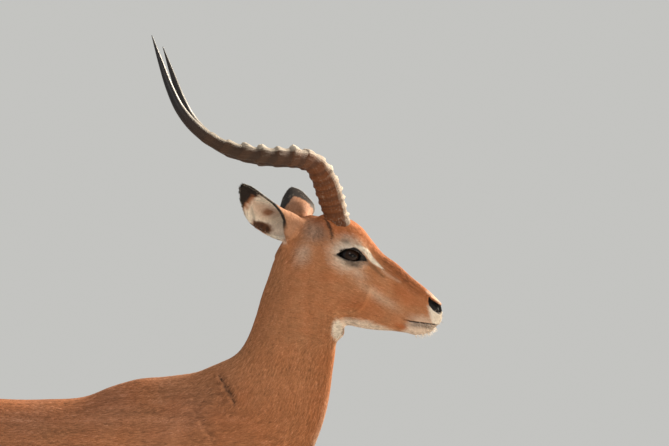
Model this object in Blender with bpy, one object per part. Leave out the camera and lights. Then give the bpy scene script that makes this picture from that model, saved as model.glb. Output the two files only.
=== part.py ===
"""A standing male impala, life size, as a still model.

The animal faces +X, its left side is +Y and the ground is z = 0. All tables are in millimetres, on the
animal's own axes: x = 0 lies under the withers. The finished meshes are in metres, and are moved so that
the origin lies under the middle of the whole model's box.

The flesh is one closed surface: where the distance function `flesh` is zero. It joins straight sweeps
(a trunk, a neck, a skull, limb segments) and ellipsoids (muscles and joints) with soft fillets. That
surface is meshed on a grid, thinned, and parted with thin cuts into head, neck, trunk and legs.
"""

import bmesh
import bpy
import numpy as np
from mathutils import Vector

MM = 0.001
GRID_STEP = 6.5
HEAD_FACES, LIMB_FACES, TRUNK_FACES = 6400, 4200, 3000
CUT_GAP = 0.6
SEAT_GAP = 0.8
HOOF_TOP = 45.0

# The grid that the flesh is meshed on, and the reach of the boxes that part it.
GRID_LOW, GRID_HIGH = (-690, -185, 30), (560, 185, 1240)
REACH = 1500.0
# Planes across the neck: a point, and the way up the neck from it.
HEAD_CUT = ((262.0, 0.0, 1055.0), (0.767, 0.0, 0.641))
NECK_CUT = ((185.0, 0.0, 832.0), (0.587, 0.0, 0.81))
# Where the legs part from the trunk, and the room that each leg's piece is taken from.
FORE_CUT_LEVEL, HIND_CUT_LEVEL, HIND_CUT_X = 500.0, 530.0, -340.0
HIND_CUT_SLOPE = np.radians(23.4)
FORE_SPACE, HIND_SPACE, HIND_BELOW_TO = (-200.0, 500.0), (-1100.0, -210.0), -250.0
LEG_SPACE_INSIDE, LEG_SPACE_WIDTH = 0.5, 400.0

# Where the left (+Y) and right (-Y) feet stand ahead of a square stance.
FORE_STEP = {1: 22.0, -1: -12.0}
HIND_STEP = {1: 26.0, -1: -30.0}
FORE_STEP_FROM, HIND_STEP_FROM = 520.0, 560.0

# The head's axis runs from the back of the skull to the muzzle, tilted down.
HEAD_START = np.array([236.6, 0.0, 1147.1])
HEAD_AXIS = np.array([0.874, 0.0, -0.486])
HEAD_UP = np.array([0.486, 0.0, 0.874])

NECK_START = np.array([150.0, 0.0, 760.0])
NECK_AXIS = np.array([0.305, 0.0, 0.952])
NECK_FRONT = np.array([0.952, 0.0, -0.305])

EYE_RADIUS = 16.5
EYE_ALONG, EYE_UP, EYE_SIDE = 98.0, 17.0, 37.5

# Sweep rows: distance along the axis, upper edge, level of the widest point, lower edge, half width, and
# the power of the superellipse that rounds the section.
TRUNK_ROWS = (
    (-634, 786, 765, 740, 16, 2.0),
    (-614, 822, 768, 702, 52, 2.0),
    (-580, 851, 768, 660, 82, 2.1),
    (-520, 880, 765, 625, 108, 2.1),
    (-450, 887, 750, 596, 122, 2.1),
    (-370, 878, 720, 562, 134, 2.1),
    (-280, 866, 695, 536, 144, 2.15),
    (-200, 865, 690, 521, 147, 2.15),
    (-127, 871, 690, 513, 143, 2.1),
    (-80, 889, 690, 511, 136, 1.95),
    (-35, 901, 690, 512, 128, 1.85),
    (10, 905, 690, 516, 120, 1.8),
    (60, 911, 690, 526, 108, 1.8),
    (120, 914, 690, 547, 96, 1.9),
    (180, 866, 695, 580, 80, 2.0),
    (225, 784, 700, 622, 56, 2.0),
    (250, 738, 700, 662, 24, 2.0),
)
NECK_ROWS = (
    (-60, 84, 0, -110, 88, 2.1),
    (0, 100, 0, -104, 88, 2.1),
    (60, 109, 6, -97, 83, 2.1),
    (120, 110, 12, -88, 74, 2.1),
    (160, 105, 14, -74, 66, 2.1),
    (200, 97, 14, -64, 62, 2.1),
    (240, 88, 12, -62, 59, 2.1),
    (280, 83, 8, -63, 56, 2.1),
    (320, 75, 5, -61, 53, 2.1),
    (370, 60, 0, -52, 45, 2.1),
    (400, 35, -5, -38, 30, 2.0),
)
SKULL_ROWS = (
    (-10, 32, -2, -40, 33, 2.0),
    (5, 46, 0, -52, 41, 2.1),
    (24, 53, 5, -58, 45, 2.2),
    (48, 62, 10, -60, 46, 2.2),
    (68, 71, 12, -58, 47, 2.2),
    (93, 69, 14, -54, 47, 2.2),
    (121, 57.5, 8, -52, 41, 2.2),
    (146, 48, 0, -48, 33, 2.2),
    (179, 43.5, -5, -44, 27, 2.2),
    (211, 36, -6, -38, 24, 2.2),
    (241, 31, -5, -33, 23, 2.3),
    (262, 26, -4, -29, 23.5, 2.4),
    (277, 19.5, -5, -25, 21.5, 2.4),
    (287, 8, -6, -21, 15, 2.2),
    (293, -3, -8, -14, 6, 2.0),
)
JAW_ROWS = (
    (60, -20, -50, -80, 20, 2.0),
    (85, -10, -52, -92, 30, 2.1),
    (104, -10, -52, -94, 34, 2.1),
    (130, -12, -52, -93, 32, 2.1),
    (154, -15, -52, -91, 28, 2.1),
    (180, -18, -50, -84, 24, 2.1),
    (205, -20, -46, -74, 20, 2.0),
    (228, -20, -42, -63, 18, 2.0),
    (250, -20, -38, -54.5, 18, 2.1),
    (268, -20, -35, -48.5, 17, 2.1),
    (280, -22, -31, -38.5, 12, 2.0),
    (287, -25, -28, -31, 6, 2.0),
)
FOREARM_ROWS = (
    (-30, 40, 0, -44, 30, 2.1),
    (10, 38, 0, -42, 29, 2.1),
    (60, 32, 0, -33, 25, 2.1),
    (120, 25, 0, -25, 20.5, 2.0),
    (185, 19, 0, -19, 17, 2.0),
    (240, 18, 0, -17, 16.5, 2.0),
    (262, 19, 0, -17, 17, 2.0),
)
FORE_CANNON_ROWS = (
    (0, 16, 0, -16, 15.5, 2.0),
    (35, 12.5, 0, -15, 12.5, 2.0),
    (100, 11, 0, -15, 11, 2.1),
    (160, 11.5, 0, -16, 12, 2.1),
    (195, 15, 0, -18, 14.5, 2.0),
)
GASKIN_ROWS = (
    (-20, 55, 0, -70, 38, 2.1),
    (30, 50, 0, -66, 36, 2.1),
    (90, 38, 0, -54, 31, 2.1),
    (150, 28, 0, -40, 25, 2.1),
    (220, 21, 0, -26, 19, 2.0),
    (280, 18.5, 0, -21, 17.5, 2.0),
    (313, 19, 0, -21, 17.5, 2.0),
)
HIND_CANNON_ROWS = (
    (0, 19, 0, -18, 16.5, 2.0),
    (40, 15, 0, -16, 13.5, 2.0),
    (110, 12.5, 0, -14.5, 12, 2.1),
    (170, 13, 0, -15.5, 12.5, 2.1),
    (205, 15.5, 0, -17.5, 15, 2.0),
)
PASTERN_ROWS = (
    (0, 15, 0, -15, 15, 2.0),
    (26, 12.5, 0, -13, 14, 2.1),
    (48, 15, 0, -15, 18, 2.2),
    (60, 17, 0, -17, 19.5, 2.2),
)
TAIL_PATH = (
    # x, height, half thickness and half width
    (-572, 826, 14, 18),
    (-606, 820, 17, 22),
    (-634, 800, 16, 21),
    (-650, 770, 13.5, 19),
    (-656, 730, 12, 17.5),
    (-659, 680, 12, 18),
    (-662, 620, 13, 21),
    (-664, 570, 13, 22.5),
    (-666, 530, 10, 18),
    (-667, 500, 2.5, 5),
)
TAIL_STATIONS, TAIL_SIDES = 20, 10

HORN_ROWS = (
    # x, side, height and thickness; the other horn is its mirror image
    (310, 26, 1160, 45),
    (306, 30, 1182, 44.5),
    (297, 42, 1214, 47),
    (288, 57, 1240, 46),
    (278, 73, 1259.5, 42),
    (264, 96, 1275, 37),
    (239, 124, 1281.5, 34.5),
    (205.5, 153, 1283, 33.5),
    (168.5, 179, 1286, 31),
    (135, 198, 1293, 27.5),
    (109, 210, 1302.5, 25),
    (87, 218, 1315.5, 22.5),
    (63.5, 223, 1336, 20),
    (44, 224, 1361, 17),
    (26.5, 221, 1397, 13.5),
    (11.5, 214, 1439, 9),
    (-4.5, 203, 1486, 1.2),
)
HORN_RINGS = 17
HORN_RING_HEIGHT = 2.6
HORN_RINGS_END = 0.62
HORN_STATIONS, HORN_SIDES = 44, 9

# Ears: where each is rooted, where its tip points, and which way it opens.
EARS = {
    # "bow" bends the ear sideways and "slim" narrows its root
    "right": {
        "root": (248, -40, 1143), "tip": (143, -78, 1236), "opens": (-0.25, -0.93, -0.25),
        "bow": 17, "slim": 1.0,
    },
    "left": {
        "root": (253, 40, 1156), "tip": (226, 163, 1233), "opens": (0.30, 0.42, -0.86),
        "bow": 4, "slim": 0.60,
    },
}
EAR_WIDTH = 32.0
EAR_WALL = 3.2
# Along the ear: shares of its length, then half width, the arc's half angle and how hollow it is.
EAR_STATIONS = (-0.10, 0.02, 0.12, 0.22, 0.33, 0.45, 0.57, 0.69, 0.80, 0.89, 0.96, 1.0)
EAR_HALVES = ((-0.1, 0.12, 0.42, 0.7, 0.9, 1.0), (0.62, 0.82, 1.03, 0.78, 0.42, 0.10))
EAR_SPREADS = ((-0.1, 0.15, 0.4, 0.7, 1.0), (150, 140, 88, 62, 40))
EAR_HOLLOWS = ((-0.1, 0.1, 0.3, 1.0), (0.05, 0.1, 1, 1))

# A hoof claw: heights, half length, half width and how far its middle lies behind the sole's.
CLAW_ROWS = (
    (0.0, 29.0, 10.6, 0.0),
    (6.0, 28.0, 10.8, 1.0),
    (18.0, 24.5, 10.4, 4.0),
    (32.0, 20.0, 9.8, 8.5),
    (HOOF_TOP, 16.0, 9.2, 13.0),
)
CLAW_POINTS = 10
CLAW_OFFSET = 11.6
FORE_HOOF_X, HIND_HOOF_X = 96.0, -550.0
FORE_HOOF_SIDE, HIND_HOOF_SIDE = 66.0, 68.0

COLOURS = {
    "coat": (0.46, 0.20, 0.085),
    "horn": (0.12, 0.085, 0.065),
    "hoof": (0.03, 0.026, 0.024),
    "eye": (0.012, 0.009, 0.008),
}
ROUGHNESS = {"coat": 0.85, "horn": 0.5, "hoof": 0.45, "eye": 0.08}


def unit(vector):
    return np.asarray(vector, float) / np.linalg.norm(vector)


def smooth_curve(knots, values, at):
    """A curve through the knots with continuous slope, held at its end values."""
    knots, values, at = (np.asarray(a, float) for a in (knots, values, at))
    slopes = np.gradient(values, knots, axis=0)
    place = np.clip(at, knots[0], knots[-1])
    cell = np.clip(np.searchsorted(knots, place, side="right") - 1, 0, len(knots) - 2)
    width = knots[cell + 1] - knots[cell]
    t = (place - knots[cell]) / width
    if values.ndim > 1:
        t, width = t[:, None], width[:, None]
    rise = 3 * t**2 - 2 * t**3
    start = (t**3 - 2 * t**2 + t) * width
    end = (t**3 - t**2) * width
    return values[cell] * (1 - rise) + values[cell + 1] * rise + slopes[cell] * start + slopes[cell + 1] * end


class Sweep:
    """A straight generalised cylinder, with the table of its sections sampled finely for quick reading."""

    SAMPLES = 400

    def __init__(self, start, axis, up, rows):
        self.start, self.axis, self.up = np.asarray(start, float), unit(axis), unit(up)
        self.side = np.cross(self.up, self.axis)
        rows = np.asarray(rows, float)
        self.first, self.last = rows[0, 0], rows[-1, 0]
        self.at = np.linspace(self.first, self.last, self.SAMPLES)
        self.table = [smooth_curve(rows[:, 0], rows[:, k], self.at) for k in range(1, rows.shape[1])]

    def distance(self, p):
        rel = p - self.start
        along, up, side = rel @ self.axis, rel @ self.up, rel @ self.side
        top, mid, low, half, power = (np.interp(along, self.at, column) for column in self.table)
        up = up - mid
        reach = np.where(up > 0, top - mid, mid - low)
        share = (np.abs(side / half) ** power + np.abs(up / reach) ** power) ** (1 / power)
        radial = np.hypot(side, up)
        inside = radial - radial / np.maximum(share, 1e-4)
        beyond = np.maximum(self.first - along, along - self.last)
        return np.where(beyond > 0, np.hypot(np.maximum(inside, 0), beyond), np.maximum(inside, beyond))


def limb(top, bottom, rows):
    """A sweep from one joint to the next, whose upper edge faces forwards."""
    axis = unit(np.subtract(bottom, top))
    forward = np.array([1.0, 0.0, 0.0])
    return Sweep(top, axis, forward - axis * (forward @ axis), rows)


def ellipsoid(p, centre, radii, along=(1, 0, 0)):
    """Near distance to an ellipsoid whose first radius lies along a direction in the x-z plane."""
    a = unit(along)
    c = np.array([-a[2], 0.0, a[0]])
    rel = p - np.asarray(centre, float)
    q = np.stack([rel @ a, rel[:, 1], rel @ c], axis=1) / np.asarray(radii, float)
    far = np.linalg.norm(q, axis=1)
    steep = np.linalg.norm(q / np.asarray(radii, float), axis=1)
    return far * (far - 1) / np.maximum(steep, 1e-6)


def join(a, b, fillet):
    """The union of two shapes, with a soft fillet."""
    h = np.maximum(fillet - np.abs(a - b), 0) / fillet
    return np.minimum(a, b) - h * h * fillet / 4


def carve(a, b, fillet):
    """Shape a with shape b taken out of it."""
    h = np.maximum(fillet - np.abs(a + b), 0) / fillet
    return np.maximum(a, -b) + h * h * fillet / 4


def head_point(along, up, side=0.0):
    return HEAD_START + HEAD_AXIS * along + HEAD_UP * up + np.array([0.0, side, 0.0])


TRUNK = Sweep((0, 0, 0), (1, 0, 0), (0, 0, 1), TRUNK_ROWS)
NECK = Sweep(NECK_START, NECK_AXIS, NECK_FRONT, NECK_ROWS)
SKULL = Sweep(HEAD_START, HEAD_AXIS, HEAD_UP, SKULL_ROWS)
JAW = Sweep(HEAD_START, HEAD_AXIS, HEAD_UP, JAW_ROWS)
FOREARM = limb((52, 84, 560), (66, 70, 300), FOREARM_ROWS)
FORE_CANNON = limb((66, 70, 288), (64, 66, 92), FORE_CANNON_ROWS)
FORE_PASTERN = limb((63, 66, 88), (84, 66, 36), PASTERN_ROWS)
GASKIN = limb((-415, 88, 585), (-592, 72, 326), GASKIN_ROWS)
HIND_CANNON = limb((-598, 72, 302), (-586, 68, 96), HIND_CANNON_ROWS)
HIND_PASTERN = limb((-585, 68, 90), (-562, 68, 36), PASTERN_ROWS)


def head_flesh(p):
    """Skull, jaw, cheeks, brows and lips, with a hollow for each eye. p has |y|, so both sides match."""
    d = join(SKULL.distance(p), JAW.distance(p), 14)
    d = join(d, ellipsoid(p, head_point(106, -42, 28), (52, 15, 42), HEAD_AXIS), 16)
    d = join(d, ellipsoid(p, head_point(97, 24, 34), (30, 18, 22), HEAD_AXIS), 12)
    d = join(d, ellipsoid(p, head_point(258, -15, 12), (28, 11, 13), HEAD_AXIS), 8)
    d = join(d, ellipsoid(p, head_point(271, 7, 12), (15, 9, 10), HEAD_AXIS), 7)
    d = join(d, ellipsoid(p, head_point(52, 40, 24), (36, 26, 30), HEAD_AXIS), 14)
    return carve(d, ellipsoid(p, head_point(EYE_ALONG, EYE_UP, 58), (19, 9, 11), HEAD_AXIS), 4)


def fore_leg(p):
    d = join(FOREARM.distance(p), ellipsoid(p, (24, 82, 556), (30, 20, 30)), 30)
    d = join(d, ellipsoid(p, (67, 70, 293), (20, 18.5, 30)), 10)
    d = join(d, FORE_CANNON.distance(p), 10)
    d = join(d, ellipsoid(p, (61, 66, 92), (18.5, 16.5, 20)), 10)
    return join(d, FORE_PASTERN.distance(p), 10)


def hind_leg(p):
    d = join(GASKIN.distance(p), ellipsoid(p, (-406, 92, 584), (44, 34, 60)), 30)
    d = join(d, ellipsoid(p, (-553, 68, 560), (110, 26, 32), (0.12, 0, -0.99)), 40)
    d = join(d, ellipsoid(p, (-592, 74, 402), (80, 9, 14), (-0.38, 0, -0.92)), 44)
    d = join(d, ellipsoid(p, (-597, 72, 318), (23, 18.5, 34)), 12)
    d = join(d, ellipsoid(p, (-621, 72, 336), (12, 11.5, 24), (1, 0, 0.3)), 10)
    d = join(d, HIND_CANNON.distance(p), 10)
    d = join(d, ellipsoid(p, (-587, 68, 94), (18.5, 16.5, 20)), 10)
    d = join(d, ellipsoid(p, (-602, 68, 122), (9, 9, 26)), 8)
    return join(d, HIND_PASTERN.distance(p), 10)


def stepped(p, sides, steps, level):
    """p with each foot's step taken out: the leg leans evenly from the level down."""
    lean = np.clip(1 - p[:, 2] / level, 0, 1)
    step = np.where(sides > 0, steps[1], steps[-1])
    moved = p.copy()
    moved[:, 0] -= step * lean
    return moved


def flesh(p):
    """Distance to the coat's outer surface, negative inside, at an array of points in millimetres."""
    sides = p[:, 1].copy()
    p = np.column_stack([p[:, 0], np.abs(p[:, 1]), p[:, 2]])
    d = join(TRUNK.distance(p), NECK.distance(p), 60)
    d = join(d, ellipsoid(p, (112, 60, 762), (128, 36, 64), (0.72, 0, -0.69)), 50)
    d = join(d, ellipsoid(p, (70, 78, 640), (100, 30, 56), (0.25, 0, -0.97)), 50)
    d = join(d, ellipsoid(p, (196, 48, 690), (50, 42, 62)), 50)
    d = join(d, ellipsoid(p, (301, 0, 984), (14, 16, 20), (0.3, 0, 0.95)), 16)
    d = join(d, ellipsoid(p, (222, 0, 1106), (20, 34, 48), (0.952, 0, -0.305)), 16)
    d = join(d, head_flesh(p), 18)
    d = join(d, ellipsoid(p, (-476, 76, 700), (168, 50, 104), (0.40, 0, -0.92)), 60)
    d = join(d, ellipsoid(p, (-572, 54, 690), (135, 42, 54), (0.30, 0, -0.95)), 40)
    d = join(d, ellipsoid(p, (-435, 88, 838), (44, 16, 18)), 60)
    d = join(d, fore_leg(stepped(p, sides, FORE_STEP, FORE_STEP_FROM)), 44)
    return join(d, hind_leg(stepped(p, sides, HIND_STEP, HIND_STEP_FROM)), 46)


def grid_surface(distance, low, high, step):
    """Vertices and quads of the zero surface on a grid: one vertex in each cell that the surface crosses, at
    the mean of its edge crossings, and one quad round each crossed grid edge."""
    axes = [np.arange(a, b + step, step) for a, b in zip(low, high, strict=True)]
    shape = tuple(len(a) for a in axes)
    value = np.empty(shape)
    for i, x in enumerate(axes[0]):
        yy, zz = np.meshgrid(axes[1], axes[2], indexing="ij")
        p = np.column_stack([np.full(yy.size, x), yy.ravel(), zz.ravel()])
        value[i] = distance(p).reshape(yy.shape)
    inside = value < 0
    cells = tuple(n - 1 for n in shape)
    total, count = np.zeros((*cells, 3)), np.zeros(cells)
    crossed = []
    for k in range(3):
        a = [slice(None)] * 3
        b = [slice(None)] * 3
        a[k], b[k] = slice(None, -1), slice(1, None)
        va, vb = value[tuple(a)], value[tuple(b)]
        flips = inside[tuple(a)] != inside[tuple(b)]
        share = np.where(flips, va / np.where(flips, va - vb, 1), 0)
        others = [m for m in range(3) if m != k]
        for i in (0, 1):
            for j in (0, 1):
                edge = [slice(None)] * 3
                edge[others[0]] = slice(i, i + cells[others[0]])
                edge[others[1]] = slice(j, j + cells[others[1]])
                on = flips[tuple(edge)]
                count += on
                total[..., k] += np.where(on, share[tuple(edge)], 0)
                total[..., others[0]] += np.where(on, i, 0)
                total[..., others[1]] += np.where(on, j, 0)
        crossed.append((flips, inside[tuple(a)], others))
    used = count > 0
    number = np.full(cells, -1)
    number[used] = np.arange(used.sum())
    corner = np.argwhere(used)
    points = (corner + total[used] / count[used][:, None]) * step + np.asarray(low, float)
    quads = []
    for k, (flips, starts_inside, (m, n)) in enumerate(crossed):
        at = np.argwhere(flips)
        at = at[(at[:, m] > 0) & (at[:, n] > 0) & (at[:, m] < cells[m]) & (at[:, n] < cells[n])]
        ring = []
        for dm, dn in ((-1, -1), (0, -1), (0, 0), (-1, 0)):
            cell = at.copy()
            cell[:, m] += dm
            cell[:, n] += dn
            ring.append(number[tuple(cell.T)])
        quad = np.column_stack(ring)
        turn = starts_inside[tuple(at.T)] == (k == 1)
        quad[turn] = quad[turn][:, ::-1]
        quads.append(quad)
    return points, np.concatenate(quads)


def project(distance, points, turns=3):
    """Points moved onto the zero surface by Newton steps along the gradient."""
    small = 0.5
    for _ in range(turns):
        value = distance(points)
        slope = np.stack(
            [distance(points + np.eye(3)[k] * small) - value for k in range(3)], axis=1
        ) / small
        points = points - slope * (value / np.maximum((slope**2).sum(1), 0.1))[:, None]
    return points


def material(slot):
    made = bpy.data.materials.get(slot) or bpy.data.materials.new(slot)
    made.use_nodes = True
    shader = made.node_tree.nodes["Principled BSDF"]
    shader.inputs["Base Color"].default_value = (*COLOURS[slot], 1)
    shader.inputs["Roughness"].default_value = ROUGHNESS[slot]
    return made


def mesh_object(name, points, faces, slot, is_cutter=False):
    """An object from points in millimetres, shaded smooth, in the scene's collection."""
    mesh = bpy.data.meshes.new(name)
    mesh.from_pydata((np.asarray(points) * MM).tolist(), [], [list(map(int, f)) for f in faces])
    mesh.validate()
    made = bpy.data.objects.new(name, mesh)
    bpy.context.scene.collection.objects.link(made)
    mesh.materials.append(material(slot))
    mesh.shade_smooth()
    if is_cutter:
        made.hide_render = True
        made.display_type = "WIRE"
    return made


def facing_out(made):
    """Recalculates an object's normals so that they point outwards."""
    bm = bmesh.new()
    bm.from_mesh(made.data)
    bmesh.ops.remove_doubles(bm, verts=bm.verts, dist=1e-6)
    bmesh.ops.recalc_face_normals(bm, faces=bm.faces)
    bm.to_mesh(made.data)
    bm.free()
    return made


def boolean(made, cutter, operation="DIFFERENCE"):
    modifier = made.modifiers.new(operation.lower(), "BOOLEAN")
    modifier.operation = operation
    modifier.object = cutter
    modifier.solver = "EXACT"


def settle(made):
    """Replaces an object's mesh with the one its modifiers make."""
    graph = bpy.context.evaluated_depsgraph_get()
    mesh = bpy.data.meshes.new_from_object(made.evaluated_get(graph))
    made.modifiers.clear()
    made.data = mesh
    return made


def box_cutter(name, low, high, turn=0.0, pivot=(0, 0, 0)):
    """A closed box between two corners, turned about the y axis through a pivot."""
    pairs = list(zip(low, high, strict=True))
    corners = np.array([[x, y, z] for x in pairs[0] for y in pairs[1] for z in pairs[2]])
    c, s = np.cos(turn), np.sin(turn)
    x, y, z = (corners - pivot).T
    corners = np.column_stack([x * c + z * s, y, -x * s + z * c]) + pivot
    faces = ((0, 1, 3, 2), (4, 6, 7, 5), (0, 4, 5, 1), (2, 3, 7, 6), (0, 2, 6, 4), (1, 5, 7, 3))
    return facing_out(mesh_object(name, corners, faces, "coat", is_cutter=True))


def beyond_plane(name, point, direction, gap, reach=REACH):
    """A box that fills the side of a plane that the direction points to, starting gap past the plane."""
    turn = np.arctan2(-direction[2], direction[0])
    point = np.asarray(point, float)
    low = point + (gap, -reach, -reach)
    return box_cutter(name, low, point + reach, turn, point)


def tube(rings):
    """Points and faces of a closed tube through rings of points, with a fan over each end."""
    count, sides = rings.shape[:2]
    points = np.concatenate([rings.reshape(-1, 3), rings[:1].mean(1), rings[-1:].mean(1)])
    faces = []
    for i in range(count - 1):
        for j in range(sides):
            k = (j + 1) % sides
            faces.append((i * sides + j, i * sides + k, (i + 1) * sides + k, (i + 1) * sides + j))
    for j in range(sides):
        k = (j + 1) % sides
        faces.append((count * sides, k, j))
        faces.append((count * sides + 1, (count - 1) * sides + j, (count - 1) * sides + k))
    return points, faces


def tail(name):
    """An oval tube that leaves the rump backwards and hangs down."""
    rows = np.asarray(TAIL_PATH, float)
    run = np.concatenate([[0], np.cumsum(np.linalg.norm(np.diff(rows[:, :2], axis=0), axis=1))])
    path = smooth_curve(run, rows, np.linspace(0, run[-1], TAIL_STATIONS))
    centre = np.column_stack([path[:, 0], np.zeros(len(path)), path[:, 1]])
    tangent = np.gradient(centre, axis=0)
    tangent /= np.linalg.norm(tangent, axis=1)[:, None]
    side = np.array([0.0, 1.0, 0.0])
    back = np.cross(tangent, side)
    angle = np.linspace(0, 2 * np.pi, TAIL_SIDES, endpoint=False)
    rings = (
        centre[:, None, :]
        + back[:, None, :] * (path[:, 2:3] * np.cos(angle))[:, :, None]
        + side * (path[:, 3:4] * np.sin(angle))[:, :, None]
    )
    return facing_out(mesh_object(name, *tube(rings), "coat"))


def horn(name, side):
    """A curved cone carried along the horn's path, ringed by ridges that stand out in front."""
    rows = np.asarray(HORN_ROWS, float)
    run = np.concatenate([[0], np.cumsum(np.linalg.norm(np.diff(rows[:, :3], axis=0), axis=1))])
    share = np.linspace(0, 1, HORN_STATIONS)
    path = smooth_curve(run, rows, share * run[-1])
    centre, thick = path[:, :3] * (1, side, 1), path[:, 3] / 2
    tangent = np.gradient(centre, axis=0)
    tangent /= np.linalg.norm(tangent, axis=1)[:, None]
    front = np.cross(tangent, np.array([0.0, 1.0, 0.0]) * side)
    front *= np.where(front @ np.array([1.0, 0.0, 1.0]) < 0, -1, 1)[:, None]
    front /= np.linalg.norm(front, axis=1)[:, None]
    across = np.cross(tangent, front)
    angle = np.linspace(0, 2 * np.pi, HORN_SIDES, endpoint=False)
    fade = np.clip((HORN_RINGS_END - share) / 0.12, 0, 1)
    wave = 0.5 - 0.5 * np.cos(2 * np.pi * HORN_RINGS * share / HORN_RINGS_END)
    ridge = HORN_RING_HEIGHT * (wave * fade)[:, None] * (0.55 + 0.45 * np.cos(angle))[None, :]
    radius = thick[:, None] - 0.6 * HORN_RING_HEIGHT * fade[:, None] + ridge
    rings = (
        centre[:, None, :]
        + front[:, None, :] * (radius * np.cos(angle))[:, :, None]
        + across[:, None, :] * (radius * 0.88 * np.sin(angle))[:, :, None]
    )
    return facing_out(mesh_object(name, *tube(rings), "horn"))


def ear(name, root, tip, opens, bow, slim):
    """A leaf-shaped cup: rings of an outer and an inner arc, closed to a solid stalk at the root."""
    root, tip = np.asarray(root, float), np.asarray(tip, float)
    length = np.linalg.norm(tip - root)
    along = (tip - root) / length
    mouth = unit(np.asarray(opens) - along * (along @ np.asarray(opens)))
    across = np.cross(along, mouth)
    across *= -np.sign(across[2]) or 1
    share = np.array(EAR_STATIONS)
    t = np.clip((share - 0.05) / 0.45, 0, 1)
    half = EAR_WIDTH * smooth_curve(*EAR_HALVES, share) * (slim + (1 - slim) * t * t * (3 - 2 * t))
    spread = np.radians(smooth_curve(*EAR_SPREADS, share))
    hollow = smooth_curve(*EAR_HOLLOWS, share)
    turn = np.linspace(-1, 1, 9)
    rings = []
    for s, w, phi, deep in zip(share, half, spread, hollow, strict=True):
        r = w / np.sin(min(phi, np.pi / 2))
        a = turn * phi
        base = root + along * length * s + across * bow * np.sin(np.pi * max(s, 0) ** 0.8)
        outer = base + np.outer(np.sin(a) * r, across) - np.outer((np.cos(a) - np.cos(phi)) * r, mouth)
        wall = EAR_WALL / r
        inner_r = r * (1 - np.clip(wall / max(deep, 0.05), 0, 0.94))
        b = turn[::-1] * phi * 0.93
        inner = base + np.outer(np.sin(b) * inner_r, across) - np.outer(
            np.cos(b) * inner_r - np.cos(phi) * r, mouth
        )
        rings.append(np.concatenate([outer, inner]))
    return facing_out(mesh_object(name, *tube(np.array(rings)), "coat"))


def claw_mesh(inward):
    """One half of a cloven hoof, standing on its own origin: rings of a rounded outline that comes to a point
    in front and is flatter on the side that faces its twin."""
    angle = np.linspace(0, 2 * np.pi, CLAW_POINTS, endpoint=False)
    rings = []
    for height, long, wide, back in CLAW_ROWS:
        ahead = np.cos(angle)
        pinch = 1 - 0.5 * np.clip(ahead, 0, 1) ** 1.6
        bulge = np.where(np.sin(angle) * inward > 0, 0.86, 1.0)
        rings.append(
            np.column_stack(
                [
                    long * ahead - back,
                    wide * np.sin(angle) * pinch * bulge,
                    np.full(CLAW_POINTS, height),
                ]
            )
        )
    pattern = facing_out(mesh_object("claw_pattern", *tube(np.array(rings)), "hoof", is_cutter=True))
    mesh = pattern.data
    bpy.data.objects.remove(pattern)
    return mesh


def placed(name, mesh, location):
    """A copy of a repeated piece, set down at a place given in millimetres."""
    made = bpy.data.objects.new(name, mesh)
    made.location = Vector(np.asarray(location, float) * MM)
    bpy.context.scene.collection.objects.link(made)
    return made


def ball(name, centre, radius, slot, is_cutter=False):
    """A sphere whose poles face sideways, placed by its location."""
    bm = bmesh.new()
    bmesh.ops.create_uvsphere(bm, u_segments=14, v_segments=8, radius=radius * MM)
    made = mesh_object(name, np.zeros((0, 3)), [], slot, is_cutter)
    bm.to_mesh(made.data)
    bm.free()
    made.data.shade_smooth()
    made.rotation_euler = (np.pi / 2, 0, 0)
    made.location = Vector(np.asarray(centre) * MM)
    return made


def copy_of(made, name, is_cutter=False):
    twin = bpy.data.objects.new(name, made.data.copy())
    bpy.context.scene.collection.objects.link(twin)
    if is_cutter:
        twin.hide_render = True
        twin.display_type = "WIRE"
    return twin


def swollen(made):
    """A cutter a little larger all round than an object, to seat a neighbour against it."""
    grown = copy_of(made, f"{made.name}_swollen", is_cutter=True)
    swell = grown.modifiers.new("swell", "DISPLACE")
    swell.mid_level = 0
    swell.strength = SEAT_GAP * MM
    return settle(grown)


def whole_flesh(name, points, quads, faces):
    """The whole flesh, thinned to a number of faces."""
    made = facing_out(mesh_object(name, points, quads, "coat", is_cutter=True))
    thin = made.modifiers.new("thin", "DECIMATE")
    thin.ratio = faces / (2 * len(made.data.polygons))
    return settle(made)


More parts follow.
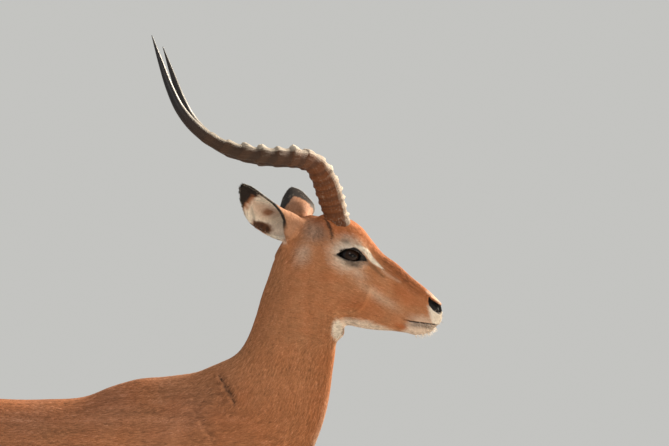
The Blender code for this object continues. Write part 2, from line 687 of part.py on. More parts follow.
def part_flesh(for_head, for_limbs, for_trunk):
    """The flesh parted with thin gaps into head, neck, trunk and legs. The legs part from the trunk on a
    level at the elbow in front, and on a slope across the thigh behind."""
    half = CUT_GAP / 2
    head = copy_of(for_head, "head")
    boolean(head, beyond_plane("past_head", *HEAD_CUT, half), "INTERSECT")
    neck = copy_of(for_trunk, "neck")
    boolean(neck, beyond_plane("before_head", *HEAD_CUT, -half))
    boolean(neck, beyond_plane("past_neck", *NECK_CUT, half), "INTERSECT")
    trunk = copy_of(for_trunk, "trunk")
    boolean(trunk, beyond_plane("before_neck", *NECK_CUT, -half))

    wide = LEG_SPACE_WIDTH
    pivot = (HIND_CUT_X, 0, HIND_CUT_LEVEL)
    for side, word in ((1, "left"), (-1, "right")):
        near, far = sorted((side * LEG_SPACE_INSIDE, side * wide))
        name = f"front_leg_{word}"
        leg = copy_of(for_limbs, name)
        low = (FORE_SPACE[0], near, HOOF_TOP + half)
        high = (FORE_SPACE[1], far, FORE_CUT_LEVEL - half)
        boolean(leg, box_cutter(f"{name}_space", low, high), "INTERSECT")
        name = f"hind_leg_{word}"
        leg = copy_of(for_limbs, name)
        low = (HIND_SPACE[0], near, HOOF_TOP + half)
        high = (HIND_SPACE[1], far, HIND_CUT_LEVEL + wide)
        boolean(leg, box_cutter(f"{name}_space", low, high), "INTERSECT")
        low = (-REACH, -wide, HIND_CUT_LEVEL - half)
        boolean(leg, box_cutter(f"{name}_above", low, (wide, wide, REACH), HIND_CUT_SLOPE, pivot))
    below = -wide
    high = (FORE_SPACE[1], wide, FORE_CUT_LEVEL + half)
    boolean(trunk, box_cutter("fore_space", (FORE_SPACE[0], -wide, below), high))
    high = (HIND_CUT_X + 2, wide, HIND_CUT_LEVEL + half)
    boolean(trunk, box_cutter("hind_space", (-REACH, -wide, below), high, HIND_CUT_SLOPE, pivot))
    high = (HIND_BELOW_TO, wide, FORE_CUT_LEVEL - half)
    boolean(trunk, box_cutter("hind_below", (-REACH, -wide, below), high))
    return head


def build():
    for old in list(bpy.data.objects):
        bpy.data.objects.remove(old)

    points, quads = grid_surface(flesh, GRID_LOW, GRID_HIGH, GRID_STEP)
    points = project(flesh, points)
    for_head = whole_flesh("for_head", points, quads, HEAD_FACES)
    for_limbs = whole_flesh("for_limbs", points, quads, LIMB_FACES)
    for_trunk = whole_flesh("for_trunk", points, quads, TRUNK_FACES)
    round_head, round_trunk = swollen(for_head), swollen(for_trunk)
    head = part_flesh(for_head, for_limbs, for_trunk)

    claws = {inward: claw_mesh(inward) for inward in (1, -1)}
    for side, word in ((1, "left"), (-1, "right")):
        centre = head_point(EYE_ALONG, EYE_UP, side * EYE_SIDE)
        ball(f"eye_{word}", centre, EYE_RADIUS, "eye")
        boolean(head, ball(f"socket_{word}", centre, EYE_RADIUS + SEAT_GAP, "eye", is_cutter=True))
        boolean(horn(f"horn_{word}", side), round_head)
        boolean(ear(f"ear_{word}", **EARS[word]), round_head)
        for fore, x, foot_side, step in (
            ("front", FORE_HOOF_X, FORE_HOOF_SIDE, FORE_STEP[side]),
            ("hind", HIND_HOOF_X, HIND_HOOF_SIDE, HIND_STEP[side]),
        ):
            for where, outward in (("inner", -1), ("outer", 1)):
                y = side * (foot_side + outward * CLAW_OFFSET)
                placed(f"hoof_{fore}_{word}_{where}", claws[-outward * side], (x + step, y, 0))

    boolean(tail("tail"), round_trunk)

    centre_on_origin()


def centre_on_origin():
    """Hangs everything on one empty, and moves that so that the origin is under the middle of the model."""
    stand = bpy.data.objects.new("impala", None)
    for made in bpy.data.objects:
        if made is not stand:
            made.parent = stand
    bpy.context.scene.collection.objects.link(stand)
    graph = bpy.context.evaluated_depsgraph_get()
    shown = [o.evaluated_get(graph) for o in bpy.data.objects if o.type == "MESH" and not o.hide_render]
    corners = np.array([o.matrix_world @ Vector(c) for o in shown for c in o.bound_box])
    low, high = corners.min(0), corners.max(0)
    stand.location = (-(low[0] + high[0]) / 2, -(low[1] + high[1]) / 2, -low[2])


build()
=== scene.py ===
"""Looks of a standing male impala, life size: one skin, a short coat of tufts, eyes, horns and hooves.

Laid out as an add-on: each piece has an operator, and main() runs them in order. Tables and shapes are in
millimetres on the animal's own axes: it faces +X, its left is +Y, x = 0 lies under the withers and the
ground is z = 0. `placed` carries them into the frame, in metres. The head has axes of its own, along, up
and across, and so has each ear.
"""

from itertools import product

import bmesh
import bpy
import numpy as np
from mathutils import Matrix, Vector


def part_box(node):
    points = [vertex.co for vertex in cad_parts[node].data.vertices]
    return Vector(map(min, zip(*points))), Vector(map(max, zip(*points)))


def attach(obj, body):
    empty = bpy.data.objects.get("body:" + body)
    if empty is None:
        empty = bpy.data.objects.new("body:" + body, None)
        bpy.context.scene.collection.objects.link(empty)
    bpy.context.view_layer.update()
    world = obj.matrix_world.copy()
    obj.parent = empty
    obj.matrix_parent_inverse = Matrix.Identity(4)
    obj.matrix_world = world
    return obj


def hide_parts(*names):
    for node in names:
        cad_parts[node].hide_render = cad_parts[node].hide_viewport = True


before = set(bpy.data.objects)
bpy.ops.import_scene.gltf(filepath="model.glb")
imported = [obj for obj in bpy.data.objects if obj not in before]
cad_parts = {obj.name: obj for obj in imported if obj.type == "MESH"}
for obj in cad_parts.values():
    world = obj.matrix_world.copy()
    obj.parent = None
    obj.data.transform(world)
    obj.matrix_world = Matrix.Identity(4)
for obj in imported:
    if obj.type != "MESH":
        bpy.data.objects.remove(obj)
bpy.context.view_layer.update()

bl_info = {
    "name": "Impala",
    "version": (1, 0, 0),
    "blender": (4, 5, 0),
    "location": "3D View > Sidebar > Impala",
    "description": "Skin, coat, eyes, horns and hooves of a standing impala, with its stage",
    "category": "Add Mesh",
}

MM = 0.001
SEED = 7
SIDES = (("left", 1), ("right", -1))

# ---------------- the animal's measures

FORE_STEP = {1: 22.0, -1: -12.0}
HIND_STEP = {1: 26.0, -1: -30.0}
FORE_STEP_FROM, HIND_STEP_FROM = 520.0, 560.0

HEAD_START = np.array([236.6, 0.0, 1147.1])
HEAD_AXIS = np.array([0.874, 0.0, -0.486])
HEAD_UP = np.array([0.486, 0.0, 0.874])

NECK_START = np.array([150.0, 0.0, 760.0])
NECK_AXIS = np.array([0.305, 0.0, 0.952])
NECK_FRONT = np.array([0.952, 0.0, -0.305])

EYE_RADIUS = 16.5
EYE_ALONG, EYE_UP, EYE_SIDE = 98.0, 17.0, 37.5

HOOF_TOP = 45.0
SKIN_BOTTOM = 43.5

# Sweep rows: distance along the axis, upper edge, level of the widest point, lower edge, half width, and
# the power of the superellipse that rounds the section.
TRUNK_ROWS = (
    (-634, 786, 765, 740, 16, 2.0),
    (-614, 822, 768, 702, 52, 2.0),
    (-580, 851, 768, 660, 82, 2.1),
    (-520, 880, 765, 625, 108, 2.1),
    (-450, 887, 750, 596, 122, 2.1),
    (-370, 878, 720, 562, 134, 2.1),
    (-280, 866, 695, 536, 144, 2.15),
    (-200, 865, 690, 521, 147, 2.15),
    (-127, 871, 690, 513, 143, 2.1),
    (-80, 889, 690, 511, 136, 1.95),
    (-35, 901, 690, 512, 128, 1.85),
    (10, 905, 690, 516, 120, 1.8),
    (60, 911, 690, 526, 108, 1.8),
    (120, 914, 690, 547, 96, 1.9),
    (180, 866, 695, 580, 80, 2.0),
    (225, 784, 700, 622, 56, 2.0),
    (250, 738, 700, 662, 24, 2.0),
)
NECK_ROWS = (
    (-60, 84, 0, -110, 88, 2.1),
    (0, 100, 0, -104, 88, 2.1),
    (60, 109, 6, -97, 83, 2.1),
    (120, 110, 12, -88, 74, 2.1),
    (160, 105, 14, -74, 66, 2.1),
    (200, 97, 14, -64, 62, 2.1),
    (240, 88, 12, -62, 59, 2.1),
    (280, 83, 8, -63, 56, 2.1),
    (320, 75, 5, -61, 53, 2.1),
    (370, 60, 0, -52, 45, 2.1),
    (400, 35, -5, -38, 30, 2.0),
)
SKULL_ROWS = (
    (-10, 32, -2, -40, 33, 2.0),
    (5, 46, 0, -52, 41, 2.1),
    (24, 53, 5, -58, 45, 2.2),
    (48, 62, 10, -60, 46, 2.2),
    (68, 71, 12, -58, 47, 2.2),
    (93, 69, 14, -54, 47, 2.2),
    (121, 57.5, 8, -52, 41, 2.2),
    (146, 48, 0, -48, 33, 2.2),
    (179, 43.5, -5, -44, 27, 2.2),
    (211, 36, -6, -38, 24, 2.2),
    (241, 31, -5, -33, 23, 2.3),
    (262, 26, -4, -29, 23.5, 2.4),
    (277, 19.5, -5, -25, 21.5, 2.4),
    (287, 8, -6, -21, 15, 2.2),
    (293, -3, -8, -14, 6, 2.0),
)
JAW_ROWS = (
    (60, -20, -50, -80, 20, 2.0),
    (85, -10, -52, -92, 30, 2.1),
    (104, -10, -52, -94, 34, 2.1),
    (130, -12, -52, -93, 32, 2.1),
    (154, -15, -52, -91, 28, 2.1),
    (180, -18, -50, -84, 24, 2.1),
    (205, -20, -46, -74, 20, 2.0),
    (228, -20, -42, -63, 18, 2.0),
    (250, -20, -38, -54.5, 18, 2.1),
    (268, -20, -35, -48.5, 17, 2.1),
    (280, -22, -31, -38.5, 12, 2.0),
    (287, -25, -28, -31, 6, 2.0),
)
FOREARM_ROWS = (
    (-30, 40, 0, -44, 30, 2.1),
    (10, 38, 0, -42, 29, 2.1),
    (60, 32, 0, -33, 25, 2.1),
    (120, 25, 0, -25, 20.5, 2.0),
    (185, 19, 0, -19, 17, 2.0),
    (240, 18, 0, -17, 16.5, 2.0),
    (262, 19, 0, -17, 17, 2.0),
)
FORE_CANNON_ROWS = (
    (0, 16, 0, -16, 15.5, 2.0),
    (35, 12.5, 0, -15, 12.5, 2.0),
    (100, 11, 0, -15, 11, 2.1),
    (160, 11.5, 0, -16, 12, 2.1),
    (195, 15, 0, -18, 14.5, 2.0),
)
GASKIN_ROWS = (
    (-20, 55, 0, -70, 38, 2.1),
    (30, 50, 0, -66, 36, 2.1),
    (90, 38, 0, -54, 31, 2.1),
    (150, 28, 0, -40, 25, 2.1),
    (220, 21, 0, -26, 19, 2.0),
    (280, 18.5, 0, -21, 17.5, 2.0),
    (313, 19, 0, -21, 17.5, 2.0),
)
HIND_CANNON_ROWS = (
    (0, 19, 0, -18, 16.5, 2.0),
    (40, 15, 0, -16, 13.5, 2.0),
    (110, 12.5, 0, -14.5, 12, 2.1),
    (170, 13, 0, -15.5, 12.5, 2.1),
    (205, 15.5, 0, -17.5, 15, 2.0),
)
PASTERN_ROWS = (
    (0, 15, 0, -15, 15, 2.0),
    (26, 12.5, 0, -13, 14, 2.1),
    (48, 15, 0, -15, 18, 2.2),
    (60, 17, 0, -17, 19.5, 2.2),
)
# The tail's root and bone: x, height, radius.
TAIL_BONE = (
    (-566, 822, 15),
    (-606, 818, 14),
    (-634, 798, 12),
    (-650, 768, 10),
    (-656, 728, 9),
    (-660, 670, 8.5),
    (-662, 610, 8),
    (-663, 565, 7),
)
# The left horn's path: x, side, height and thickness. The other horn is its mirror image.
HORN_ROWS = (
    (310, 26, 1160, 45),
    (306, 30, 1182, 44.5),
    (297, 42, 1214, 47),
    (288, 57, 1240, 46),
    (278, 73, 1259.5, 42),
    (264, 96, 1275, 37),
    (239, 124, 1281.5, 34.5),
    (205.5, 153, 1283, 33.5),
    (168.5, 179, 1286, 31),
    (135, 198, 1293, 27.5),
    (109, 210, 1302.5, 25),
    (87, 218, 1315.5, 22.5),
    (63.5, 223, 1336, 20),
    (44, 224, 1361, 17),
    (26.5, 221, 1397, 13.5),
    (11.5, 214, 1439, 9),
    (-4.5, 203, 1486, 1.2),
)
# Each ear's root and tip, the way it opens, its bow and twist, how wide its root is against the whole, where
# the black starts behind, and how dark the rim is.
EARS = {
    "right": ((248, -40, 1143), (143, -78, 1236), (-0.25, -0.93, -0.25), 17, 42, 1.0, 0.47, 1.0),
    "left": ((253, 40, 1156), (226, 163, 1233), (0.30, 0.42, -0.86), 4, 8, 0.60, 0.28, 0.0),
}
EAR_WIDTH = 32.0
EAR_WALL = 3.6
# A hoof claw: height, half length, half width and how far its middle lies behind the sole's.
CLAW_ROWS = (
    (0.0, 29.0, 10.6, 0.0),
    (6.0, 28.0, 10.8, 1.0),
    (18.0, 24.5, 10.4, 4.0),
    (32.0, 20.0, 9.8, 8.5),
    (HOOF_TOP, 16.0, 9.2, 13.0),
)
CLAW_OFFSET = 11.6
FORE_HOOF_X, HIND_HOOF_X = 96.0, -550.0
FORE_HOOF_SIDE, HIND_HOOF_SIDE = 66.0, 68.0

# ---------------- the face's lines

# The slit of the eye, on axes through its centre that turn with it: along, upper lid, lower lid.
EYE_TURN = np.radians(17.0)
LID_ROWS = (
    (-22, -3.2, -3.4),
    (-16, 2.6, -5.8),
    (-10, 7.2, -7.6),
    (-2, 9.6, -8.8),
    (7, 9.0, -8.8),
    (13, 6.8, -7.4),
    (18, 4.0, -5.6),
    (24, 0.6, -4.2),
    (31, -2.8, -3.2),
)
LID_THICKNESS = 1.9
# Folds along the lids: which lid, depth, distance past its edge and half width.
LID_FOLDS = ((0, 1.1, 4.6, 1.3), (0, 0.5, 8.4, 1.5), (1, 0.7, -4.2, 1.4), (1, 0.4, -8.0, 1.8))
# Soft hollows of the face, which swell where the depth is negative: middle (along, up, side), radii, depth
# and slant.
FACE_DENTS = (
    ((152, 4, 36), (26, 11, 16), 2.0, 0.0),
    ((58, 16, 48), (16, 18, 16), 1.6, 0.0),
    ((122, -34, 46), (44, 8, 16), 0.9, 0.0),
    ((146, -9, 38), (34, 9, 16), -2.2, 0.2),
    ((184, 20, 24), (26, 5, 10), -1.4, 0.0),
    ((112, 33, 44), (20, 6, 12), -1.2, 0.0),
    ((228, -38, 20), (14, 8, 10), 1.2, 0.0),
    ((30, 10, 48), (22, 20, 14), 1.0, 0.0),
    ((228, 10, 24), (22, 9, 10), -0.9, 0.0),
)
# Lines on the head's side: along, up, half width.
NOSTRIL = ((254.5, 18.5, 0.7), (259, 14.5, 3.2), (264, 12.0, 5.2), (272, 10.2, 6.4), (279.5, 9.2, 6.8))
MOUTH = ((233.7, -35.3), (245.3, -32.9), (263.3, -25.8), (282.2, -18.3), (297, -12.0))
CRESCENT = ((98, 35, 0.5), (107, 36.5, 1.9), (118, 36, 3.2), (127, 32.5, 3.7), (135, 28.5, 3.2))
CRESCENT += ((143, 26.5, 2.6), (151, 25.3, 1.8), (160, 24, 0.6))
# A painted highlight: the pale line where the light catches the facial crest below the eye.
PAINTED_CREST_HIGHLIGHT = ((158, 23, 1.0), (170, 18.5, 1.2), (196, 18, 0.6))
# A painted shadow: the dark line of the crease behind the horn's foot, down the temple.
PAINTED_HORN_CREASE_SHADE = ((31, 51, 1.0), (41, 46, 2.0), (49, 40, 2.6), (56, 31, 1.9), (60, 20, 0.6))
EAR_SLIT = ((-3, -6, 1.4), (3, -12, 2.4), (8, -17, 1.0))
TEAR_LINE = ((124, 17, 1.2), (136, 20, 2.2), (150, 17, 2.0), (168, 12, 1.0))
# A painted highlight: the pale line over the nose's wing, above each nostril.
PAINTED_NOSE_HIGHLIGHT = ((247, 26, 0.8), (262, 24, 1.8), (276, 19.5, 2.0))
# Creases in the body's side view: x, height, half width.
NECK_CREASE = ((103, 914, 3.0), (115, 892, 4.4), (126, 875, 4.4), (135, 857, 2.0))
SHOULDER_FOLD = ((66, 846, 4.0), (84, 820, 5.0), (100, 796, 5.0))
JUGULAR = ((250, 900, 8.0), (244, 862, 10.0), (231, 797, 11.0), (212, 735, 9.0))
SHOULDER_EDGE = ((60, 862, 12.0), (30, 770, 14.0), (-20, 690, 12.0), (-44, 612, 10.0))
FLANK_FOLD = ((-300, 742, 16.0), (-322, 668, 18.0), (-352, 600, 14.0))
THIGH_SPLIT = ((-520, 712, 10.0), (-548, 590, 12.0), (-560, 470, 9.0))
# Each crease's depth, and the distances from the middle plane between which it fades in.
BODY_GROOVES = (
    (NECK_CREASE, 5.0, 24, 40),
    (SHOULDER_FOLD, 2.0, 40, 60),
    (JUGULAR, 1.4, 14, 34),
    (SHOULDER_EDGE, 1.8, 60, 90),
    (FLANK_FOLD, 3.2, 60, 90),
    (THIGH_SPLIT, 2.0, 50, 80),
)

FRAME_EYES = [sum((Vector(c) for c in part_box(f"eye_{word}")), Vector()) / 2 for word in ("left", "right")]


def head_point(along, up, side=0.0):
    return HEAD_START + HEAD_AXIS * along + HEAD_UP * up + np.array([0.0, side, 0.0])


def on_head(p):
    """How far along the head and how high on it each point lies."""
    rel = p - HEAD_START
    return rel @ HEAD_AXIS, rel @ HEAD_UP


def on_neck(p):
    """How far up the neck and how far in front of its axis each point lies."""
    rel = p - NECK_START
    return rel @ NECK_AXIS, rel @ NECK_FRONT


# Where the animal's axes lie in the frame: both models have the eyes at the same place.
OFFSET = np.array((FRAME_EYES[0] + FRAME_EYES[1]) / 2) / MM - head_point(EYE_ALONG, EYE_UP)


def placed(points):
    """Points in the frame, in metres."""
    return (points + OFFSET) * MM


def unplaced(points):
    return points / MM - OFFSET


# ---------------- small curves and shapes

FAR = 400.0


def unit(vector):
    vector = np.asarray(vector, float)
    return vector / np.maximum(np.linalg.norm(vector, axis=-1, keepdims=True), 1e-9)


def rise(value, start, end):
    """0 before start, 1 past end, and an even S between: 3t^2 - 2t^3."""
    t = np.clip((value - start) / (end - start), 0, 1)
    return t * t * (3 - 2 * t)


def bell(value):
    """1 at zero, falling away on both sides as exp(-v^2)."""
    return np.exp(-np.square(value))


def blend(low, high, share):
    return low + (high - low) * share


def circle(count):
    """Even angles round a full turn."""
    return np.linspace(0, 2 * np.pi, count, endpoint=False)


def most(*shares):
    """The largest of several shares at each point."""
    return np.maximum.reduce(np.broadcast_arrays(*shares))


def smooth_curve(knots, values, at):
    """A curve through the knots with continuous slope, held at its end values."""
    knots, values, at = (np.asarray(a, float) for a in (knots, values, at))
    slopes = np.gradient(values, knots, axis=0)
    place = np.clip(at, knots[0], knots[-1])
    cell = np.clip(np.searchsorted(knots, place, side="right") - 1, 0, len(knots) - 2)
    width = knots[cell + 1] - knots[cell]
    t = (place - knots[cell]) / width
    if values.ndim > 1:
        t, width = t[:, None], width[:, None]
    ease = 3 * t**2 - 2 * t**3
    start = (t**3 - 2 * t**2 + t) * width
    end = (t**3 - t**2) * width
    return values[cell] * (1 - ease) + values[cell + 1] * ease + slopes[cell] * start + slopes[cell + 1] * end


class Sweep:
    """A straight generalised cylinder: its section at each distance along the axis is a superellipse whose
    upper, lower and side reach come from the rows."""

    SAMPLES = 400

    def __init__(self, start, axis, up, rows):
        self.start, self.axis, self.up = np.asarray(start, float), unit(axis), unit(up)
        self.side = np.cross(self.up, self.axis)
        rows = np.asarray(rows, float)
        self.first, self.last = rows[0, 0], rows[-1, 0]
        self.at = np.linspace(self.first, self.last, self.SAMPLES)
        self.table = [smooth_curve(rows[:, 0], rows[:, k], self.at) for k in range(1, rows.shape[1])]

    def distance(self, p):
        """How far a point's radius passes the section's in its direction, or how far it lies past an end."""
        rel = p - self.start
        along, up, side = rel @ self.axis, rel @ self.up, rel @ self.side
        top, mid, low, half, power = (np.interp(along, self.at, column) for column in self.table)
        up = up - mid
        reach = np.where(up > 0, top - mid, mid - low)
        share = (np.abs(side / half) ** power + np.abs(up / reach) ** power) ** (1 / power)
        radial = np.hypot(side, up)
        inside = radial - radial / np.maximum(share, 1e-4)
        beyond = np.maximum(self.first - along, along - self.last)
        return np.where(beyond > 0, np.hypot(np.maximum(inside, 0), beyond), np.maximum(inside, beyond))


def limb(top, bottom, rows):
    """A sweep from one joint to the next, whose upper edge faces forwards."""
    axis = unit(np.subtract(bottom, top))
    forward = np.array([1.0, 0.0, 0.0])
    return Sweep(top, axis, forward - axis * (forward @ axis), rows)


def ellipsoid(p, centre, radii, along=(1, 0, 0)):
    """Near distance to an ellipsoid whose first radius lies along a direction in the x-z plane."""
    a = unit(along)
    c = np.array([-a[2], 0.0, a[0]])
    rel = p - np.asarray(centre, float)
    q = np.stack([rel @ a, rel[:, 1], rel @ c], axis=1) / np.asarray(radii, float)
    far = np.linalg.norm(q, axis=1)
    steep = np.linalg.norm(q / np.asarray(radii, float), axis=1)
    return far * (far - 1) / np.maximum(steep, 1e-6)


def join(a, b, fillet):
    """The union of two shapes, with a soft fillet."""
    h = np.maximum(fillet - np.abs(a - b), 0) / fillet
    return np.minimum(a, b) - h * h * fillet / 4


def carve(a, b, fillet):
    """Shape a with shape b taken out of it."""
    h = np.maximum(fillet - np.abs(a + b), 0) / fillet
    return np.maximum(a, -b) + h * h * fillet / 4


def line_distance(u, v, rows):
    """Distance in a plane to a broken line, less the line's half width there."""
    rows = np.asarray(rows, float)
    best = np.full(len(u), 1e3)
    for (u0, v0, w0), (u1, v1, w1) in zip(rows[:-1], rows[1:], strict=True):
        du, dv = u1 - u0, v1 - v0
        t = np.clip(((u - u0) * du + (v - v0) * dv) / (du * du + dv * dv), 0, 1)
        best = np.minimum(best, np.hypot(u - u0 - t * du, v - v0 - t * dv) - blend(w0, w1, t))
    return best


def groove(u, v, rows):
    """1 along a broken line, falling away over its half width as a bell."""
    rows = np.asarray(rows, float)
    width = rows[:, 2].mean()
    return bell(np.maximum(line_distance(u, v, rows) + width, 0) / width)


def in_box(p, low, high):
    return ((p >= low) & (p <= high)).all(axis=1)


def within(p, low, high, shape):
    """A shape worked out only for the points in a box, and far away elsewhere."""
    near = in_box(p, low, high)
    d = np.full(len(p), FAR)
    if near.any():
        d[near] = shape(p[near])
    return d


TRUNK = Sweep((0, 0, 0), (1, 0, 0), (0, 0, 1), TRUNK_ROWS)
NECK = Sweep(NECK_START, NECK_AXIS, NECK_FRONT, NECK_ROWS)
SKULL = Sweep(HEAD_START, HEAD_AXIS, HEAD_UP, SKULL_ROWS)
JAW = Sweep(HEAD_START, HEAD_AXIS, HEAD_UP, JAW_ROWS)
FOREARM = limb((52, 84, 560), (66, 70, 300), FOREARM_ROWS)
FORE_CANNON = limb((66, 70, 288), (64, 66, 92), FORE_CANNON_ROWS)
FORE_PASTERN = limb((63, 66, 88), (84, 66, 36), PASTERN_ROWS)
GASKIN = limb((-415, 88, 585), (-592, 72, 326), GASKIN_ROWS)
HIND_CANNON = limb((-598, 72, 302), (-586, 68, 96), HIND_CANNON_ROWS)
HIND_PASTERN = limb((-585, 68, 90), (-562, 68, 36), PASTERN_ROWS)

LID_AT = np.linspace(LID_ROWS[0][0], LID_ROWS[-1][0], 300)
LID_TABLE = smooth_curve(np.array(LID_ROWS)[:, 0], np.array(LID_ROWS)[:, 1:], LID_AT)

# Shapes joined in this order: a sweep, or an ellipsoid's centre, radii and first radius's direction where it
# isn't +X, and last the fillet that joins it to those before it.
HEAD_PARTS = (
    (SKULL, 0),
    (JAW, 14),
    (head_point(106, -42, 28), (52, 15, 42), HEAD_AXIS, 16),
    (head_point(97, 24, 34), (30, 18, 22), HEAD_AXIS, 12),
    (head_point(258, -15, 12), (28, 11, 13), HEAD_AXIS, 8),
    (head_point(271, 7, 12), (15, 9, 10), HEAD_AXIS, 7),
    (head_point(52, 40, 24), (36, 26, 30), HEAD_AXIS, 14),
)
FORE_LEG_PARTS = (
    (FOREARM, 0),
    ((24, 82, 556), (30, 20, 30), 30),
    ((67, 70, 293), (20, 18.5, 30), 10),
    (FORE_CANNON, 10),
    ((61, 66, 92), (18.5, 16.5, 20), 10),
    (FORE_PASTERN, 10),
)
HIND_LEG_PARTS = (
    (GASKIN, 0),
    ((-406, 92, 584), (44, 34, 60), 30),
    ((-553, 68, 560), (110, 26, 32), (0.12, 0, -0.99), 40),
    ((-592, 74, 402), (80, 9, 14), (-0.38, 0, -0.92), 44),
    ((-597, 72, 318), (23, 18.5, 34), 12),
    ((-621, 72, 336), (12, 11.5, 24), (1, 0, 0.3), 10),
    (HIND_CANNON, 10),
    ((-587, 68, 94), (18.5, 16.5, 20), 10),
    ((-602, 68, 122), (9, 9, 26), 8),
    (HIND_PASTERN, 10),
)
CHEST_PARTS = (
    (TRUNK, 0),
    (NECK, 60),
    ((112, 60, 762), (128, 36, 64), (0.72, 0, -0.69), 50),
    ((70, 78, 640), (100, 30, 56), (0.25, 0, -0.97), 50),
    ((196, 48, 690), (50, 42, 62), 50),
    ((301, 0, 984), (14, 16, 20), (0.3, 0, 0.95), 16),
    ((222, 0, 1106), (20, 34, 48), (0.952, 0, -0.305), 16),
)
HAUNCH_PARTS = (
    ((-476, 76, 700), (168, 50, 104), (0.40, 0, -0.92), 60),
    ((-572, 54, 690), (135, 42, 54), (0.30, 0, -0.95), 40),
    ((-435, 88, 838), (44, 16, 18), 60),
)
# Boxes round the head and one leg of each pair, on the side of +Y, and round the whole face.
HEAD_BOX = (120, -1, 900), (560, 140, 1300)
FORE_BOX = (-120, -60, -50), (220, 260, 720)
HIND_BOX = (-800, -60, -50), (-230, 260, 780)
FACE_BOX = (220, -90, 950), (520, 90, 1260)

# ---------------- the flesh, as distances


def joined(p, parts, d=None):
    """The parts' union, and d's where it is given, with each part's soft fillet."""
    for *shape, fillet in parts:
        part = shape[0].distance(p) if isinstance(shape[0], Sweep) else ellipsoid(p, *shape)
        d = part if d is None else join(d, part, fillet)
    return d


def head_flesh(p):
    """Skull, jaw, cheeks, brows and lips, with a hollow for each eye. p has |y|, so both sides match."""
    hollow = ellipsoid(p, head_point(EYE_ALONG, EYE_UP, 58), (19, 9, 11), HEAD_AXIS)
    return carve(joined(p, HEAD_PARTS), hollow, 4)


def foot_shift(p, sides, steps, level):
    """How far each leg leans ahead: not at all at the level, and by its foot's whole step on the ground."""
    return np.where(sides > 0, steps[1], steps[-1]) * np.clip(1 - p[:, 2] / level, 0, 1)


def leg_pair(p, sides, steps, level, box, parts):
    """A pair of legs, worked out with each foot's step taken out."""
    moved = p.copy()
    moved[:, 0] -= foot_shift(p, sides, steps, level)
    return within(moved, *box, lambda q: joined(q, parts))


def flesh(p, sides):
    """Distance to the coat's outer surface, negative inside. p has |y|; sides has the signs of y."""
    d = join(joined(p, CHEST_PARTS), within(p, *HEAD_BOX, head_flesh), 18)
    d = joined(p, HAUNCH_PARTS, d)
    d = join(d, leg_pair(p, sides, FORE_STEP, FORE_STEP_FROM, FORE_BOX, FORE_LEG_PARTS), 44)
    return join(d, leg_pair(p, sides, HIND_STEP, HIND_STEP_FROM, HIND_BOX, HIND_LEG_PARTS), 46)


def coat_depth(p):
    """How far the skin lies under the coat's outer surface: thin on the face and down the legs."""
    on_body, on_face, on_leg = 3.4, 1.1, 1.3
    face = rise(on_head(p)[0], 0, 60) * rise(p[:, 2], 900, 960)
    return blend(blend(on_body, on_face, face), on_leg, rise(-p[:, 2], -560, -430))


def eye_axes(along, up):
    """Places on the slit's own axes, which turn with it about the eye's centre."""
    a, u = along - EYE_ALONG, up - EYE_UP
    return a * np.cos(EYE_TURN) + u * np.sin(EYE_TURN), u * np.cos(EYE_TURN) - a * np.sin(EYE_TURN)


def lid_edges(slit):
    """The heights of the upper and the lower lid's edge along the slit."""
    return [np.interp(slit, LID_AT, LID_TABLE[:, k]) for k in (0, 1)]


def lid_gap(slit, height):
    """Negative between the lids: the farther of the distances past the upper and the lower lid's edge."""
    upper, lower = lid_edges(slit)
    return most(height - upper, lower - height, np.abs(slit - 4.5) - 26)


def mouth_height(along):
    return np.interp(along, *np.array(MOUTH).T)


def face_details(p, d):
    """Lids and their folds, tear duct, nostril, lips, philtrum and the face's soft hollows."""
    (along, up), side = on_head(p), p[:, 1]
    for (a, u, s), radii, depth, slant in FACE_DENTS:
        level = up - u + slant * (along - a)
        off = np.column_stack([along - a, level, side - s]) / radii
        d = d + depth * bell(np.linalg.norm(off, axis=1))

    slit, height = eye_axes(along, up)
    lids = lid_edges(slit)
    outer = rise(side, 24, 32)
    reach = bell((slit - 1) / 24)
    eye = head_point(EYE_ALONG, EYE_UP, EYE_SIDE)
    ball = np.linalg.norm(p - eye, axis=1) - EYE_RADIUS
    d = join(d, np.where(side > 20, ball - LID_THICKNESS, 50), 7)
    for lid, depth, past, width in LID_FOLDS:
        d = d + outer * reach * depth * bell((height - lids[lid] - past) / width)
    deep = np.interp(slit, (-20, -15.5, 14, 19), (1.8, 15, 15, 2.2))
    d = carve(d, most(lid_gap(slit, height), -deep - d, 30 - side), 0.9)

    nostril = line_distance(along, up, NOSTRIL)
    above = rise(up - blend(18.0, 9.4, rise(along, 254, 280)), -6, 2)
    d = d - rise(side, 4, 8) * (0.5 + 1.1 * above) * bell((nostril - 2.8) / 2.2)
    d = carve(d, most(nostril, -6.5 - d, 4.5 - side), 1.8)
    philtrum = 1.3 * bell(side / 1.3) * rise(along, 268, 282) * rise(up, -17, -11)
    d = d + philtrum

    mouth = mouth_height(along)
    lips = rise(along, 229, 237)
    d = d + 1.9 * lips * bell((up - mouth) / 1.05)
    return d - 0.7 * lips * (bell((up - mouth - 3.6) / 2.4) + bell((up - mouth + 3.4) / 2.2))


